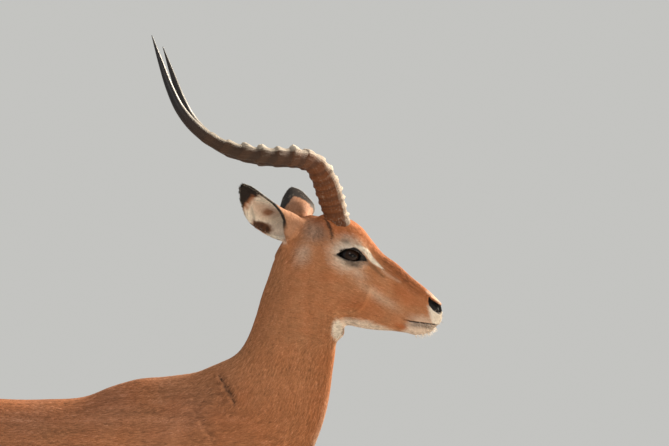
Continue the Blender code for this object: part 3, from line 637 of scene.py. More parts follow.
class Ear:
    """A leaf-shaped cup, round its own axes: along, across and towards its opening. Its section is part of
    a circle of half width w(s) that spreads to the angle phi(s) on each side of the back."""

    ROOT, TIP = -0.1, 1.0
    SHARE = np.linspace(ROOT, TIP, 200)
    HALF = EAR_WIDTH * smooth_curve(
        (ROOT, 0.12, 0.42, 0.7, 0.9, TIP), (0.62, 0.82, 1.03, 0.78, 0.42, 0.10), SHARE
    )
    SPREAD = np.radians(smooth_curve((ROOT, 0.15, 0.4, 0.7, TIP), (150, 140, 88, 62, 40), SHARE))
    HOLLOW = smooth_curve((ROOT, 0.1, 0.3, TIP), (0.05, 0.1, 1, 1), SHARE)
    TWISTED = (-0.74, -0.12)
    BOX_ROUND = 52

    def __init__(self, root, tip, opens, bow, twist, slim, cap, edge):
        self.root, tip = np.asarray(root, float), np.asarray(tip, float)
        self.length = np.linalg.norm(tip - self.root)
        self.along = (tip - self.root) / self.length
        self.mouth = unit(np.asarray(opens) - self.along * (self.along @ np.asarray(opens)))
        self.across = np.cross(self.along, self.mouth)
        self.across *= -np.sign(self.across[2]) or 1
        self.bow, self.twist, self.cap, self.edge = bow, np.radians(twist), cap, edge
        self.half = self.HALF * blend(slim, 1, rise(self.SHARE, 0.05, 0.50))
        ends = np.array([self.root, tip])
        self.box = ends.min(0) - self.BOX_ROUND, ends.max(0) + self.BOX_ROUND

    def place(self, p):
        """Share of the ear's length, angle round the cup, radius, the cup's radius and its spread."""
        rel = p - self.root
        share = rel @ self.along / self.length
        held = np.clip(share, self.ROOT, self.TIP)
        half, spread = np.interp(held, self.SHARE, self.half), np.interp(held, self.SHARE, self.SPREAD)
        radius = half / np.sin(np.minimum(spread, np.pi / 2))
        across = rel @ self.across - self.bow * np.sin(np.pi * np.maximum(held, 0) ** 0.8)
        deep = rel @ self.mouth - np.cos(spread) * radius
        angle = np.arctan2(across, -deep) + self.twist * rise(-share, *self.TWISTED)
        return share, (angle + np.pi) % (2 * np.pi) - np.pi, np.hypot(across, deep), radius, spread

    def around(self, p):
        """The direction round the cup at each point, towards its lower side."""
        share, angle = self.place(p)[:2]
        plain = (angle - self.twist * rise(-share, *self.TWISTED))[:, None]
        return self.across * np.cos(plain) + self.mouth * np.sin(plain)

    def distance(self, p):
        """Distance to the cup's wall, whose rim is rounded."""
        share, angle, radial, radius, spread = self.place(p)
        hollow = np.interp(share, self.SHARE, self.HOLLOW)
        wall = np.minimum(EAR_WALL / np.maximum(hollow, 0.05), 2 * radius)
        middle = radius - wall / 2
        over = np.maximum(np.abs(angle) - spread, 0)
        rim = np.sqrt(np.maximum(radial**2 + middle**2 - 2 * radial * middle * np.cos(over), 0))
        shell = np.where(over > 0, rim, np.abs(radial - middle)) - wall / 2
        ridges = 0.35 * np.cos(angle * 7) * rise(share, 0.2, 0.4) * (radial < middle)
        return np.maximum(shell + ridges, np.maximum(share - 0.985, -0.12 - share) * self.length)


EAR_CUPS = {word: Ear(*row) for word, row in EARS.items()}


def body_grooves(p):
    """How deep the creases of neck, shoulder, flank and thigh lie, at points with |y|."""
    x, side, z = p.T
    deep = sum(depth * groove(x, z, rows) * rise(side, *fade) for rows, depth, *fade in BODY_GROOVES)
    ribs = rise(x, -300, -240) * rise(-x, 20, 90) * rise(z, 600, 660) * rise(-z, -820, -760)
    deep += 0.3 * ribs * np.cos((x - 0.35 * z) / 5.4) * rise(side, 90, 120)
    toes = bell((side - FORE_HOOF_SIDE - 1) / 2.4) * rise(-z, -74, -54)
    return deep + 3.0 * toes


def skin_distance(p):
    """Distance to the bare skin: the flesh less the coat's depth, with creases, face and ears."""
    sides = p[:, 1]
    mirrored = np.column_stack([p[:, 0], np.abs(sides), p[:, 2]])
    d = flesh(mirrored, sides) + coat_depth(mirrored) + body_grooves(mirrored)
    near = in_box(p, *FACE_BOX)
    if near.any():
        d[near] = face_details(mirrored[near], d[near])
    for cup in EAR_CUPS.values():
        d = join(d, within(p, *cup.box, cup.distance), 9)
    tail = np.hypot(np.maximum(line_distance(p[:, 0], p[:, 2], TAIL_BONE) + 6, 0), p[:, 1]) - 6
    return np.maximum(join(d, tail, 14), SKIN_BOTTOM - p[:, 2])


# ---------------- the skin's mesh

BODY_STEP, HEAD_STEP, FINE_STEP = 7.5, 2.25, 1.1
BODY_LOW, BODY_HIGH = (-705, -182, 34), (360, 182, 1020)
HEAD_LOW, HEAD_HIGH = (116, -126, 900), (506, 176, 1252)
SEAM_AT, SEAM_GAP, SEAM_AHEAD = 212.0, 4.0, 16.0
BLOCK_SIZE = 8
# How far a block's surface may lie beyond its half diagonal, since distances are only near ones.
BLOCK_SAFETY = 1.35
BLOCKS_AT_ONCE = 256
# How near the cut a point snaps to it, and how near one counts as on it.
CUT_SNAP, ON_CUT = 0.05, 0.06
# Settling on the surface: the span a slope is measured over, the least slope squared and the longest move.
SLOPE_SPAN, LEAST_SLOPE, LONGEST_MOVE = 0.25, 0.25, 2.5
# An edge is split where it is this many times longer than wanted.
SPLIT_OVER = 1.4


def grid_values(distance, low, step, blocks):
    """The distance at each point of a grid, worked out only in the blocks that the surface may cross."""
    size = BLOCK_SIZE
    corner = np.asarray(low, float) + np.argwhere(np.ones(blocks, bool)) * (step * size)
    reach = step * (size - 1) / 2
    middle = distance(corner + reach)
    value = np.empty((blocks[0], size, blocks[1], size, blocks[2], size))
    value[:] = middle.reshape(blocks[0], 1, blocks[1], 1, blocks[2], 1)
    near = np.flatnonzero(np.abs(middle) < BLOCK_SAFETY * np.sqrt(3) * reach + step)
    inner = np.argwhere(np.ones((size,) * 3, bool)) * step
    for part in np.array_split(near, max(1, len(near) // BLOCKS_AT_ONCE)):
        points = (corner[part][:, None, :] + inner).reshape(-1, 3)
        i, j, k = np.unravel_index(part, blocks)
        value[i, :, j, :, k, :] = distance(points).reshape(-1, size, size, size)
    return value.reshape([n * size for n in blocks])


CELL_CORNERS = np.argwhere(np.ones((2, 2, 2), bool))
CELL_EDGES = [(a, b) for a in range(8) for b in range(a + 1, 8) if bin(a ^ b).count("1") == 1]


def corner_groups():
    """For each pattern of a cell's corners inside the shape, the group of each outside corner: those that are
    joined by the cell's edges share one. A thin wall that crosses a cell parts its outside corners in two."""
    table = np.zeros((256, 8), int)
    for pattern in range(256):
        outside = [c for c in range(8) if not pattern >> c & 1]
        group = {c: c for c in outside}
        for _ in outside:
            for a, b in CELL_EDGES:
                if a in group and b in group:
                    group[a] = group[b] = min(group[a], group[b])
        kept = sorted(set(group.values()))
        for c in outside:
            table[pattern, c] = kept.index(group[c])
    return table


def crossed_edges(inside, cells, vertex):
    """A quad round each grid edge that has one end inside, turned outwards. vertex numbers the vertices that
    cells have for one of their outside corners."""
    quads = []
    for k in range(3):
        m, n = (axis for axis in range(3) if axis != k)
        lower = tuple(slice(None, -1) if axis == k else slice(None) for axis in range(3))
        upper = tuple(slice(1, None) if axis == k else slice(None) for axis in range(3))
        at = np.argwhere(inside[lower] != inside[upper])
        at = at[(at[:, m] > 0) & (at[:, n] > 0) & (at[:, m] < cells[m]) & (at[:, n] < cells[n])]
        starts_inside = inside[tuple(at.T)]
        ring = []
        for dm, dn in ((1, 1), (0, 1), (0, 0), (1, 0)):
            back = np.zeros((len(at), 3), int)
            back[:, m], back[:, n] = dm, dn
            cell = at - back
            back[:, k] = starts_inside
            ring.append(vertex(cell, back @ (4, 2, 1)))
        quad = np.column_stack(ring)
        turn = starts_inside == (k == 1)
        quad[turn] = quad[turn][:, ::-1]
        quads.append(quad)
    return np.concatenate(quads)


def grid_surface(distance, low, high, step):
    """Vertices and quads of the zero surface on a grid: in each cell that the surface crosses one vertex for
    each group of outside corners, at the mean of their edges' crossings, and one quad round each crossed
    grid edge."""
    blocks = tuple(int(np.ceil((b - a) / (step * BLOCK_SIZE))) for a, b in zip(low, high, strict=True))
    value = grid_values(distance, low, step, blocks)
    inside = value < 0
    cells = tuple(n - 1 for n in value.shape)
    filled = np.zeros(cells, np.int8)
    for corner in CELL_CORNERS:
        filled += inside[tuple(slice(c, c + n) for c, n in zip(corner, cells, strict=True))]
    used = (filled > 0) & (filled < 8)
    number = np.full(cells, -1)
    number[used] = np.arange(used.sum())
    cell = np.argwhere(used)
    corner_value = np.stack([value[tuple((cell + corner).T)] for corner in CELL_CORNERS], axis=1)
    group = corner_groups()[(corner_value < 0) @ (1 << np.arange(8))]
    first = np.concatenate([[0], np.cumsum(group.max(axis=1) + 1)])
    total, count = np.zeros((first[-1], 3)), np.zeros(first[-1])
    for a, b in CELL_EDGES:
        va, vb = corner_value[:, a], corner_value[:, b]
        on = np.flatnonzero((va < 0) != (vb < 0))
        share = (va[on] / (va[on] - vb[on]))[:, None]
        vertex = first[on] + group[on, np.where(va[on] < 0, b, a)]
        np.add.at(total, vertex, cell[on] + blend(CELL_CORNERS[a], CELL_CORNERS[b], share))
        np.add.at(count, vertex, 1)
    points = total / count[:, None] * step + np.asarray(low, float)

    def vertex_of(places, corner):
        here = number[tuple(places.T)]
        return first[here] + group[here, corner]

    return points, crossed_edges(inside, cells, vertex_of)


def project(distance, points, turns=3):
    """Points moved onto the zero surface by Newton steps along the gradient."""
    for _ in range(turns):
        value = distance(points)
        ahead = [distance(points + np.eye(3)[k] * SLOPE_SPAN) for k in range(3)]
        slope = np.stack([there - value for there in ahead], axis=1) / SLOPE_SPAN
        step = slope * (value / np.maximum((slope**2).sum(1), LEAST_SLOPE))[:, None]
        size = np.linalg.norm(step, axis=1, keepdims=True)
        points = points - step * np.minimum(1, LONGEST_MOVE / np.maximum(size, 1e-6))
    return points


def cut_at_plane(points, quads, place, direction):
    """The part of a mesh behind a plane, as points and triangles, and which points lie on the cut."""
    mesh = bpy.data.meshes.new("cut")
    mesh.from_pydata(points.tolist(), [], quads.tolist())
    bm = bmesh.new()
    bm.from_mesh(mesh)
    everything = bm.verts[:] + bm.edges[:] + bm.faces[:]
    bmesh.ops.bisect_plane(
        bm, geom=everything, dist=CUT_SNAP, plane_co=place, plane_no=direction, clear_outer=True
    )
    bmesh.ops.triangulate(bm, faces=bm.faces)
    bm.to_mesh(mesh)
    bm.free()
    points, triangles = mesh_arrays(mesh)
    bpy.data.meshes.remove(mesh)
    rim = np.flatnonzero(np.abs((points - place) @ direction) < ON_CUT)
    return points, triangles, rim


def read(items, name, columns, kind=np.float32):
    """A property of each item of a mesh, as an array with so many columns."""
    values = np.empty(len(items) * columns, kind)
    items.foreach_get(name, values)
    return values.reshape(-1, columns)


def mesh_arrays(mesh):
    """A triangle mesh's points and corners, as arrays."""
    points = read(mesh.vertices, "co", 3).astype(float)
    return points, read(mesh.loops, "vertex_index", 1, np.int32).reshape(-1, 3)


def zipped(points, first, second, centre, axis, front):
    """Triangles between two loops round an axis: each edge of one loop meets the point of the other whose
    stretch, from the middle of one edge to the next, holds the middle of that edge."""
    side = np.cross(axis, front)

    def ordered(loop):
        rel = points[loop] - centre
        angle = np.arctan2(rel @ side, rel @ front)
        order = np.argsort(angle)
        return loop[order], angle[order]

    (a, at_a), (b, at_b) = ordered(first), ordered(second)
    middle_a = (at_a + np.append(at_a[1:], at_a[0] + 2 * np.pi)) / 2
    middle_b = (at_b + np.append(at_b[1:], at_b[0] + 2 * np.pi)) / 2
    to_b = np.searchsorted(middle_b, middle_a) % len(b)
    to_a = np.searchsorted(middle_a, middle_b) % len(a)
    lower = np.column_stack([a, np.roll(a, -1), b[to_b]])
    upper = np.column_stack([np.roll(b, -1), b, a[to_a]])
    return np.concatenate([lower, upper])


def refine(points, triangles, wanted):
    """Splits each edge longer than the length wanted there at its middle, and the triangles with it."""
    pairs = np.sort(triangles[:, [0, 1, 1, 2, 2, 0]].reshape(-1, 2), axis=1)
    edges, back = np.unique(pairs, axis=0, return_inverse=True)
    ends = points[edges]
    middle = ends.mean(1)
    long = np.linalg.norm(ends[:, 1] - ends[:, 0], axis=1) > SPLIT_OVER * wanted(middle)
    number = np.full(len(edges), -1)
    number[long] = len(points) + np.arange(long.sum())
    mid = number[back.ravel()].reshape(-1, 3)
    cuts = mid >= 0
    kinds = cuts.sum(1)
    (a, b, c), (ab, bc, ca) = triangles[kinds == 3].T, mid[kinds == 3].T
    parts = [triangles[kinds == 0]]
    for corner in ((a, ab, ca), (ab, b, bc), (ca, bc, c), (ab, bc, ca)):
        parts.append(np.column_stack(corner))
    for k in range(3):
        turn = [k, (k + 1) % 3, (k + 2) % 3]
        once = (kinds == 1) & cuts[:, k]
        (a, b, c), ab = triangles[once][:, turn].T, mid[once][:, k]
        parts += [np.column_stack((a, ab, c)), np.column_stack((ab, b, c))]
        twice = (kinds == 2) & cuts[:, k] & cuts[:, (k + 1) % 3]
        (a, b, c), (ab, bc, _) = triangles[twice][:, turn].T, mid[twice][:, turn].T
        parts += [np.column_stack(corner) for corner in ((ab, b, bc), (a, ab, bc), (a, bc, c))]
    return np.concatenate([points, middle[long]]), np.concatenate(parts)


def fine_length(p):
    """Edge length wanted: fine round eyes, nostrils and mouth, and free elsewhere."""
    along, up = on_head(p)
    at_eye = (lid_gap(*eye_axes(along, up)) < 5) & (np.abs(p[:, 1]) > 28)
    at_nostril = line_distance(along, up, NOSTRIL) < 4
    at_mouth = (np.abs(up - mouth_height(along)) < 4) & (along > 228)
    return np.where(at_eye | at_nostril | at_mouth, FINE_STEP, 1e3)


def skin_mesh():
    """Points and triangles of the whole skin: a coarse grid for the body and a fine one for the head, cut
    across the neck and zipped together there, then settled on the surface."""
    seam = NECK_START + NECK_AXIS * SEAM_AT
    body, quads = grid_surface(skin_distance, BODY_LOW, BODY_HIGH, BODY_STEP)
    body, body_faces, body_rim = cut_at_plane(body, quads, seam - NECK_AXIS * SEAM_GAP, NECK_AXIS)
    head, quads = grid_surface(skin_distance, HEAD_LOW, HEAD_HIGH, HEAD_STEP)
    head, head_faces, head_rim = cut_at_plane(head, quads, seam, -NECK_AXIS)
    points = np.concatenate([body, head])
    centre = seam + NECK_FRONT * SEAM_AHEAD
    joint = zipped(points, body_rim, head_rim + len(body), centre, NECK_AXIS, NECK_FRONT)
    triangles = np.concatenate([body_faces, head_faces + len(body), joint])
    points = project(skin_distance, points)
    for _ in range(2):
        points, triangles = refine(points, triangles, fine_length)
    return project(skin_distance, points, 2), triangles


# ---------------- markings


def spotted(p, size, seed):
    """Soft blotches between -1 and 1: a product of waves that turn from axis to axis."""
    q = p / size
    turn = seed * 1.7
    waves = np.sin(q[:, 0] * 1.9 + np.sin(q[:, 2] * 1.3 + turn) * 1.4 + turn)
    waves += np.sin(q[:, 2] * 2.3 + np.sin(q[:, 1] * 1.7 - turn) * 1.6 - turn)
    waves += np.sin(q[:, 1] * 2.1 + np.sin(q[:, 0] * 1.1 + 2 * turn) * 1.2)
    return waves / 3


def cup_marks(cup, p):
    """Dark, pale, red and grey shares on one ear, and how much of each point belongs to it."""
    share, angle, radial, radius, spread = cup.place(p)
    turn = angle / spread
    ragged = 0.03 * spotted(p, 3.5, 3)

    def oval(middle_share, middle_turn, long, wide, rough):
        off = np.hypot((share - middle_share) / long, (turn - middle_turn) / wide)
        return rise(1 - off + rough * ragged, 0.0, 0.7)

    inside = rise(radius - EAR_WALL * 0.5 - radial, -0.4, 0.4)
    behind = cup.cap + 0.26 * bell((turn + 0.07) / 0.26)
    back_dark = rise(share + ragged - behind, -0.02, 0.06)
    edge = cup.edge * rise(-np.abs(turn + 0.98), -0.09, -0.04) * rise(share, 0.20, 0.32)
    edge = np.maximum(edge, (1 - inside) * rise(np.abs(turn), 0.90, 0.98) * rise(share, 0.40, 0.52))
    tip = rise(share + 0.7 * ragged + 0.05 * rise(-turn, 0.1, 0.6), 0.75, 0.81)
    s, t = share - 0.41, turn - 0.92
    foot = rise(1 - np.hypot(5.2 * s + t, 2.9 * s - 3.1 * t) + 3 * ragged, 0.0, 0.35)
    veins = bell((turn - 0.48 - 2.5 * (0.66 - share)) / 0.08)
    veins = veins * rise(share, 0.50, 0.54) * rise(-share, -0.70, -0.66)
    blotch = oval(0.475, 0.17, 0.085, 0.30, 5)
    pink = oval(0.52, 0.10, 0.28, 0.62, 2)
    near_tip = 0.50 * rise(share + ragged, 0.71, 0.80)
    inner_dark = most(tip, (0.84 + 4 * ragged) * foot, 0.40 * veins, near_tip, 0.34 * blotch)
    fringe = rise(turn, 0.86, 0.96) * rise(-share, -0.74, -0.66) * (1 - foot)
    dark = np.maximum(blend(back_dark, inner_dark, inside), edge) * (1 - fringe)
    pale = np.maximum(blend(0.04, 0.88 - 0.42 * pink - 0.40 * blotch, inside), fringe)
    pale = pale * (1 - inside * 0.95 * np.maximum(foot, rise(share + ragged, 0.69, 0.77)))
    pale = np.maximum(pale, 0.9 * rise(turn, 0.84, 0.94) * rise(-share, -0.72, -0.64) * (1 - foot))
    red = np.maximum(blend(0.55, 0.85, inside), inside * np.maximum(foot, rise(share, 0.68, 0.76)))
    grey = blend(0.22, 0.16 * pink, inside)
    here = rise(-np.abs(cup.distance(p)), -7, -3) * rise(share, 0.06, 0.16)
    return np.column_stack([dark, pale, red, grey]), here


def ear_marks(p):
    """Dark, pale, red and grey shares on the ears, and how much of each point belongs to an ear."""
    marks, belongs = np.zeros((len(p), 4)), np.zeros(len(p))
    for cup in EAR_CUPS.values():
        near = in_box(p, *cup.box)
        if near.any():
            values, here = cup_marks(cup, p[near])
            marks[near] = np.where((here > belongs[near])[:, None], values, marks[near])
            belongs[near] = np.maximum(here, belongs[near])
    return marks, belongs


# Patches on the head's sides: strength, then the middle (along, up), the radii, how softly the edge fades
# and how far the patch is turned, if it is.
RED_PATCHES = (
    (0.80, 160, -50, 68, 20, 1.0, 0.28),
    (0.70, 82, -34, 26, 16, 1.0),
)
TAN_BAND = (168, -20, 86, 11, 1.3, -0.06)
NOSE_PATCH = (222, 3, 48, 17, 0.7, -0.10)
CHIN_PATCH = (237, -48, 18, 9, 0.8, 0.2)
CHIN_GAP = (235, -49, 17, 8, 0.8, 0.2)
PALE_PATCHES = (
    (0.78, 97, 15, 48, 42, 0.9),
    (0.62, 124, -3, 38, 20, 1.7, -0.2),
    (0.50, 20, -24, 34, 38, 1.2),
    (0.38, 178, -22, 88, 17, 1.5, -0.12),
)
SMUDGE = (112, 9, 20, 12, 0.7, EYE_TURN)
GREY_PATCHES = (
    (0.60, 90, 26, 40, 30, 1.0),
    (0.74, 24, 22, 40, 30, 1.0),
    (0.22, 20, -24, 30, 34, 1.0),
)
# The line of the forehead's red and the edge under the jaw: places along, then heights.
FOREHEAD_EDGE = ((60, 100, 140, 180, 230, 270), (34, 46, 36, 20, 10, 8))
JAW_EDGE = ((120, 145, 184, 224, 236, 300), (-98, -82, -67, -61.5, -60, -58))


def head_marks(p):
    """Dark, pale, red and grey shares on the head, with a painted shadow behind each horn's foot and painted
    highlights along the facial crest and over the nostrils.
    """
    (along, up), side = on_head(p), np.abs(p[:, 1])
    ragged = spotted(p, 2.6, 1)
    soft = spotted(p, 9.0, 2)
    outer = rise(side, 10, 22)

    def patch(a, u, radius_a, radius_u, edge, turn=0.0):
        c, s = np.cos(turn), np.sin(turn)
        x, y = (along - a) * c + (up - u) * s, (up - u) * c - (along - a) * s
        return rise(1 - np.hypot(x / radius_a, y / radius_u) + 0.10 * ragged + 0.08 * soft, 0, edge)

    def patches(rows):
        return most(*(outer * strength * patch(*row) for strength, *row in rows))

    def stroke(rows, edge=1.6):
        return rise(-line_distance(along, up, rows) + 0.5 * ragged, -edge, edge * 0.4)

    slit, height = eye_axes(along, up)
    gap = lid_gap(slit, height)
    mouth = mouth_height(along)
    high = up - mouth
    smudge = patch(*SMUDGE)
    below = rise(mouth - up, 0, 2) * rise(up - mouth + 13, 0, 7) * rise(along, 238, 256)
    nose_end = rise(-along, -289, -278)

    forehead = rise(up - np.interp(along, *FOREHEAD_EDGE), -5, 9)
    red = blend(0.50 + 0.12 * soft, 0.95, forehead)
    red = blend(red, 0.85, patch(*NOSE_PATCH))
    for strength, *row in RED_PATCHES:
        red = blend(red, strength, outer * patch(*row))
    red = blend(red, 0.95, patch(*CHIN_PATCH))
    red = blend(red, 0.12, outer * patch(*TAN_BAND))

    above_lid = bell((gap - 3.6) / 1.2) * rise(height, 2, 6) * rise(-slit, -8, -1)
    under = rise(np.interp(along, *JAW_EDGE) - up + 2 * ragged, -5, 5) * rise(along, 128, 150)
    throat = rise(1 - np.hypot((p[:, 0] - 310) / 13, (p[:, 2] - 985) / 23) + 0.12 * ragged, 0, 0.5)
    chin = rise(mouth - up, -0.5, 1.5) * rise(along, 236, 252)
    beside = rise(12 - high + 3 * ragged, -8, 6) * rise(along, 226, 262)
    before = rise(along - 281 + 0.66 * high + 1.6 * ragged, -4, 4) * rise(-high, -38, -28)
    pale = most(
        patches(PALE_PATCHES),
        outer * stroke(CRESCENT, 2.4),
        # Painted highlight along the facial crest.
        outer * 0.20 * stroke(PAINTED_CREST_HIGHLIGHT, 4.0),
        outer * 0.80 * above_lid,
        0.66 * under * rise(up, -104, -96),
        0.95 * throat,
        0.62 * chin,
        np.maximum(0.40 * beside, 0.95 * before) * rise(high, 0, 2),
        # Painted highlight over the nose's wing.
        0.40 * stroke(PAINTED_NOSE_HIGHLIGHT, 3.0),
    )
    pale = pale * (1 - patch(*CHIN_GAP)) * (1 - 0.6 * smudge)
    pale = pale * (1 - 0.70 * below * nose_end)
    grey = most(patches(GREY_PATCHES), outer * 0.80 * smudge, 0.95 * below * nose_end)

    speckle = rise(ragged, 0.1, 0.7)
    strokes = rise(np.sin((along * 0.87 + up * 0.49) / 1.25 + 2.4 * spotted(p, 9, 13)), 0.1, 0.9)
    hair = rise(spotted(np.column_stack([along, up * 2.8, side * 2.8]), 4.6, 14), -0.2, 0.5)
    bridge = forehead * rise(along, 118, 156) * rise(-along, -256, -215)
    dark = most(
        # Painted shadow in the crease behind the horn's foot.
        outer * stroke(PAINTED_HORN_CREASE_SHADE, 1.4) * 0.86,
        outer * 0.8 * stroke(EAR_SLIT),
        outer * 0.66 * patch(82, 34, 14, 8, 1.1, 0.2),
        outer * 0.60 * rise(-gap + 1.5 * ragged, -7, -1.5) * rise(-height, -1, 5),
        outer * 0.74 * smudge * (0.7 + 0.3 * speckle),
        outer * (0.08 + 0.46 * strokes) * patch(28, 22, 36, 30, 1.0),
        outer * 0.22 * strokes * patch(12, -14, 26, 30, 1.0),
        (0.12 + 0.32 * hair) * bridge,
        0.46 * outer * stroke(TEAR_LINE, 3.4),
        below * (0.14 + 0.36 * speckle),
    )
    return np.column_stack([dark, pale, red, grey])


def bare_skin(p):
    """1 on naked dark skin: lid edges, tear duct, nostrils, the nose between them and the lips' edges."""
    (along, up), side = on_head(p), np.abs(p[:, 1])
    slit, height = eye_axes(along, up)
    front_lid = np.interp(slit, (-4, 4, 20, 28, 31), (0, 3.6, 4.4, 1.4, 0)) * rise(height, -3, 0)
    lids = rise(front_lid - lid_gap(slit, height), -2.2, -1.0) * rise(side, 26, 32)
    nostril = rise(-line_distance(along, up, NOSTRIL), -1.6, -0.3) * rise(side, 1, 3)
    nose = rise(-side, -9, -5) * rise(along, 276, 281) * rise(up, -4, 0)
    lips = rise(-np.abs(up - mouth_height(along)), -1.6, -0.8) * rise(along, 234, 246)
    return most(lids, nostril, nose, 0.95 * lips)


def strands(p):
    """Long narrow streaks of tone that follow the coat: over the face, down the neck, back on the trunk."""
    (n_along, n_front), (along, up), side = on_neck(p), on_head(p), p[:, 1]
    down = np.column_stack([n_front * 20, side * 20, n_along])
    back = np.column_stack([p[:, 0], side * 6, p[:, 2] * 6])
    face = np.column_stack([along, side * 7, up * 7])
    body = blend(spotted(back, 38, 11), spotted(down, 34, 12), rise(n_along, 40, 120))
    return blend(body, spotted(face, 13, 15), rise(along, 30, 90) * rise(p[:, 2], 940, 990))


def back_height(x):
    rows = np.array(TRUNK_ROWS, float)
    return np.interp(x, rows[:, 0], rows[:, 1])


# Edges of the body's markings: places, then the edge's value there. The saddle's and the belly's heights
# run along x; the rump patch, its stripe and the tail's dark line run up z.
SADDLE_EDGE = ((-640, -560, -450, -300, -100, 40, 140, 200), (660, 650, 668, 690, 690, 672, 600, 500))
BELLY_EDGE = ((-520, -450, -300, -100, 60, 150), (640, 612, 566, 548, 556, 590))
RUMP_EDGE = ((540, 700, 800, 860), (560, 575, 578, 560))
RUMP_STRIPE = ((560, 700, 800), (56, 62, 44))
TAIL_LINE = ((500, 600, 700, 770, 800, 826), (-664, -662, -658, -650, -634, -600))


def body_marks(p):
    """Dark, pale, red and grey shares on neck, trunk, legs and tail, with painted shade along the neck's
    crease and the shoulder's fold.
    """
    x, side, z = p[:, 0], np.abs(p[:, 1]), p[:, 2]
    n_along, n_front = on_neck(p)
    soft, ragged = spotted(p, 38, 4), spotted(p, 7, 5)

    red = blend(0.10, 0.70, rise(z - np.interp(x, *SADDLE_EDGE) + 8 * ragged + 6 * soft, -16, 16))
    red = blend(red, 0.92, rise(z - back_height(x), -60, 0) * rise(-x, -60, 60))
    red = red + 0.07 * soft + 0.18 * rise(-z, -560, -420)
    red = blend(red, 0.55, rise(n_along, 60, 160))
    red = blend(red, 0.80, rise(n_front, 52, 92) * rise(n_along, 40, 120))

    on_haunch = rise(-x, 300, 400) * rise(side, 52, 84)
    on_forearm = rise(x, -30, 20) * rise(side, 62, 84) * rise(-z, -600, -560)
    belly = rise(np.interp(x, *BELLY_EDGE) - z + 5 * ragged, -12, 12) * rise(z, 470, 520)
    belly = belly * (1 - 0.85 * rise(x, 50, 130) * rise(side + 6 * ragged, 10, 44))
    belly = belly * (1 - on_haunch) * (1 - on_forearm)
    leg_side = np.where(x > -200, 66, blend(70, 84, rise(z, 350, 600)))
    inner = rise(leg_side - side + 3 * ragged, 2, 14) * rise(-z, -640, -560)
    chest = rise(n_front, 74, 104) * rise(-side, -40, -8) * rise(-n_along, -210, -40)
    rump = rise(-x - np.interp(z, *RUMP_EDGE), 0, 14)
    rump_pale = rump * rise(-side, -58, -46) * rise(z, 520, 580) * rise(-z, -845, -815)
    pale = most(belly, 0.92 * inner, 0.22 * rise(-z, -520, -420), 0.20 * chest, 0.96 * rump_pale)
    tail = rise(-line_distance(x, z, TAIL_BONE), -24, -12) * rise(-x, 596, 612) * rise(-side, -32, -26)
    pale = blend(pale, 0.95, tail)

    stripe = rise(-np.abs(side - np.interp(z, *RUMP_STRIPE)) + 2 * ragged, -8.5, -5)
    stripe = 0.95 * stripe * rump * rise(z, 585, 625) * rise(-z, -820, -790)
    on_back = rise(-(x - np.interp(z, *TAIL_LINE)), -2, 3)
    glands = rise(1 - np.hypot((x + 612 - hind_shift(p)) / 24, (z - 128) / 30) + 0.12 * ragged, 0, 0.3)
    fetlock = rise(-z, -120, -60) * 0.25
    curls = bell((x - 96) / 42) * bell((z - 872) / 36) * rise(side, 20, 50)
    dark = most(
        blend(stripe, 0.0, tail),
        0.96 * tail * on_back * rise(-side, -8, -5) * rise(z, 540, 600),
        0.97 * glands * (x < -300),
        fetlock * (0.5 + 0.5 * ragged),
        0.40 * curls * rise(spotted(p, 3.2, 8), -0.1, 0.7),
        # Painted shade: dark lines along the neck's crease and the shoulder's fold, where shade falls in
        # them.
        0.92 * groove(x, z, NECK_CREASE) * rise(side, 24, 40),
        0.26 * groove(x, z, SHOULDER_FOLD) * rise(side, 40, 60),
        0.05 * rise(z - back_height(x), -26, -2) * rise(-side, -26, -6) * rise(-x, -60, 0),
    )
    grey = 0.22 * rise(z, 560, 700) * rise(-x, -170, -60) * (0.5 + 0.5 * soft)
    return np.column_stack([dark, pale, red, grey])


def hind_shift(p):
    """How far each hind leg leans ahead at a point's height."""
    return foot_shift(p, p[:, 1], HIND_STEP, HIND_STEP_FROM)


def markings(p):
    """Dark, pale, red and grey shares of the coat at points on the animal's axes."""
    along, up = on_head(p)
    head = rise(along + 0.35 * up, -6, 30) * rise(p[:, 2] - 940, 0, 30)
    marks = blend(body_marks(p), head_marks(p), head[:, None])
    ear, belongs = ear_marks(p)
    return np.clip(blend(marks, ear, belongs[:, None]), 0, 1)


# ---------------- the lie and size of the coat


SIZE_SPREAD = 0.78, 1.22
TONE_LIMIT = 1.5
# Where the coat's pieces part along the body: shoulders from haunches, and fore legs from hind legs.
SHOULDERS_FROM, FORE_LEGS_FROM = -210, -200
# Tuft length and width, how high its tip stands and how much skin it has to itself.
TRUNK_COAT = np.array([12.0, 1.30, 1.5, 7.2])
NECK_COAT = np.array([9.5, 1.05, 1.2, 4.0])
FACE_COAT = np.array([6.2, 0.80, 0.75, 1.9])
MUZZLE_COAT = np.array([3.4, 0.60, 0.45, 1.15])
LEG_COAT = np.array([6.5, 0.95, 0.6, 5.2])
EAR_COAT = np.array([5.0, 0.62, 0.55, 1.5])
# What the belly's coat has more of each.
BELLY_LONGER = np.array([0.4, 0.1, 0.8, 0.0])


def regions(p):
    """Shares of face, muzzle, neck, leg and ear at points on the animal's axes."""
    along = on_head(p)[0]
    face = rise(along, -14, 40) * rise(p[:, 2], 940, 990)
    muzzle = rise(along, 150, 262)
    neck = rise(on_neck(p)[0], 10, 130)
    leg = rise(-p[:, 2], -600, -470)
    return face, muzzle, neck, leg, ear_marks(p)[1]


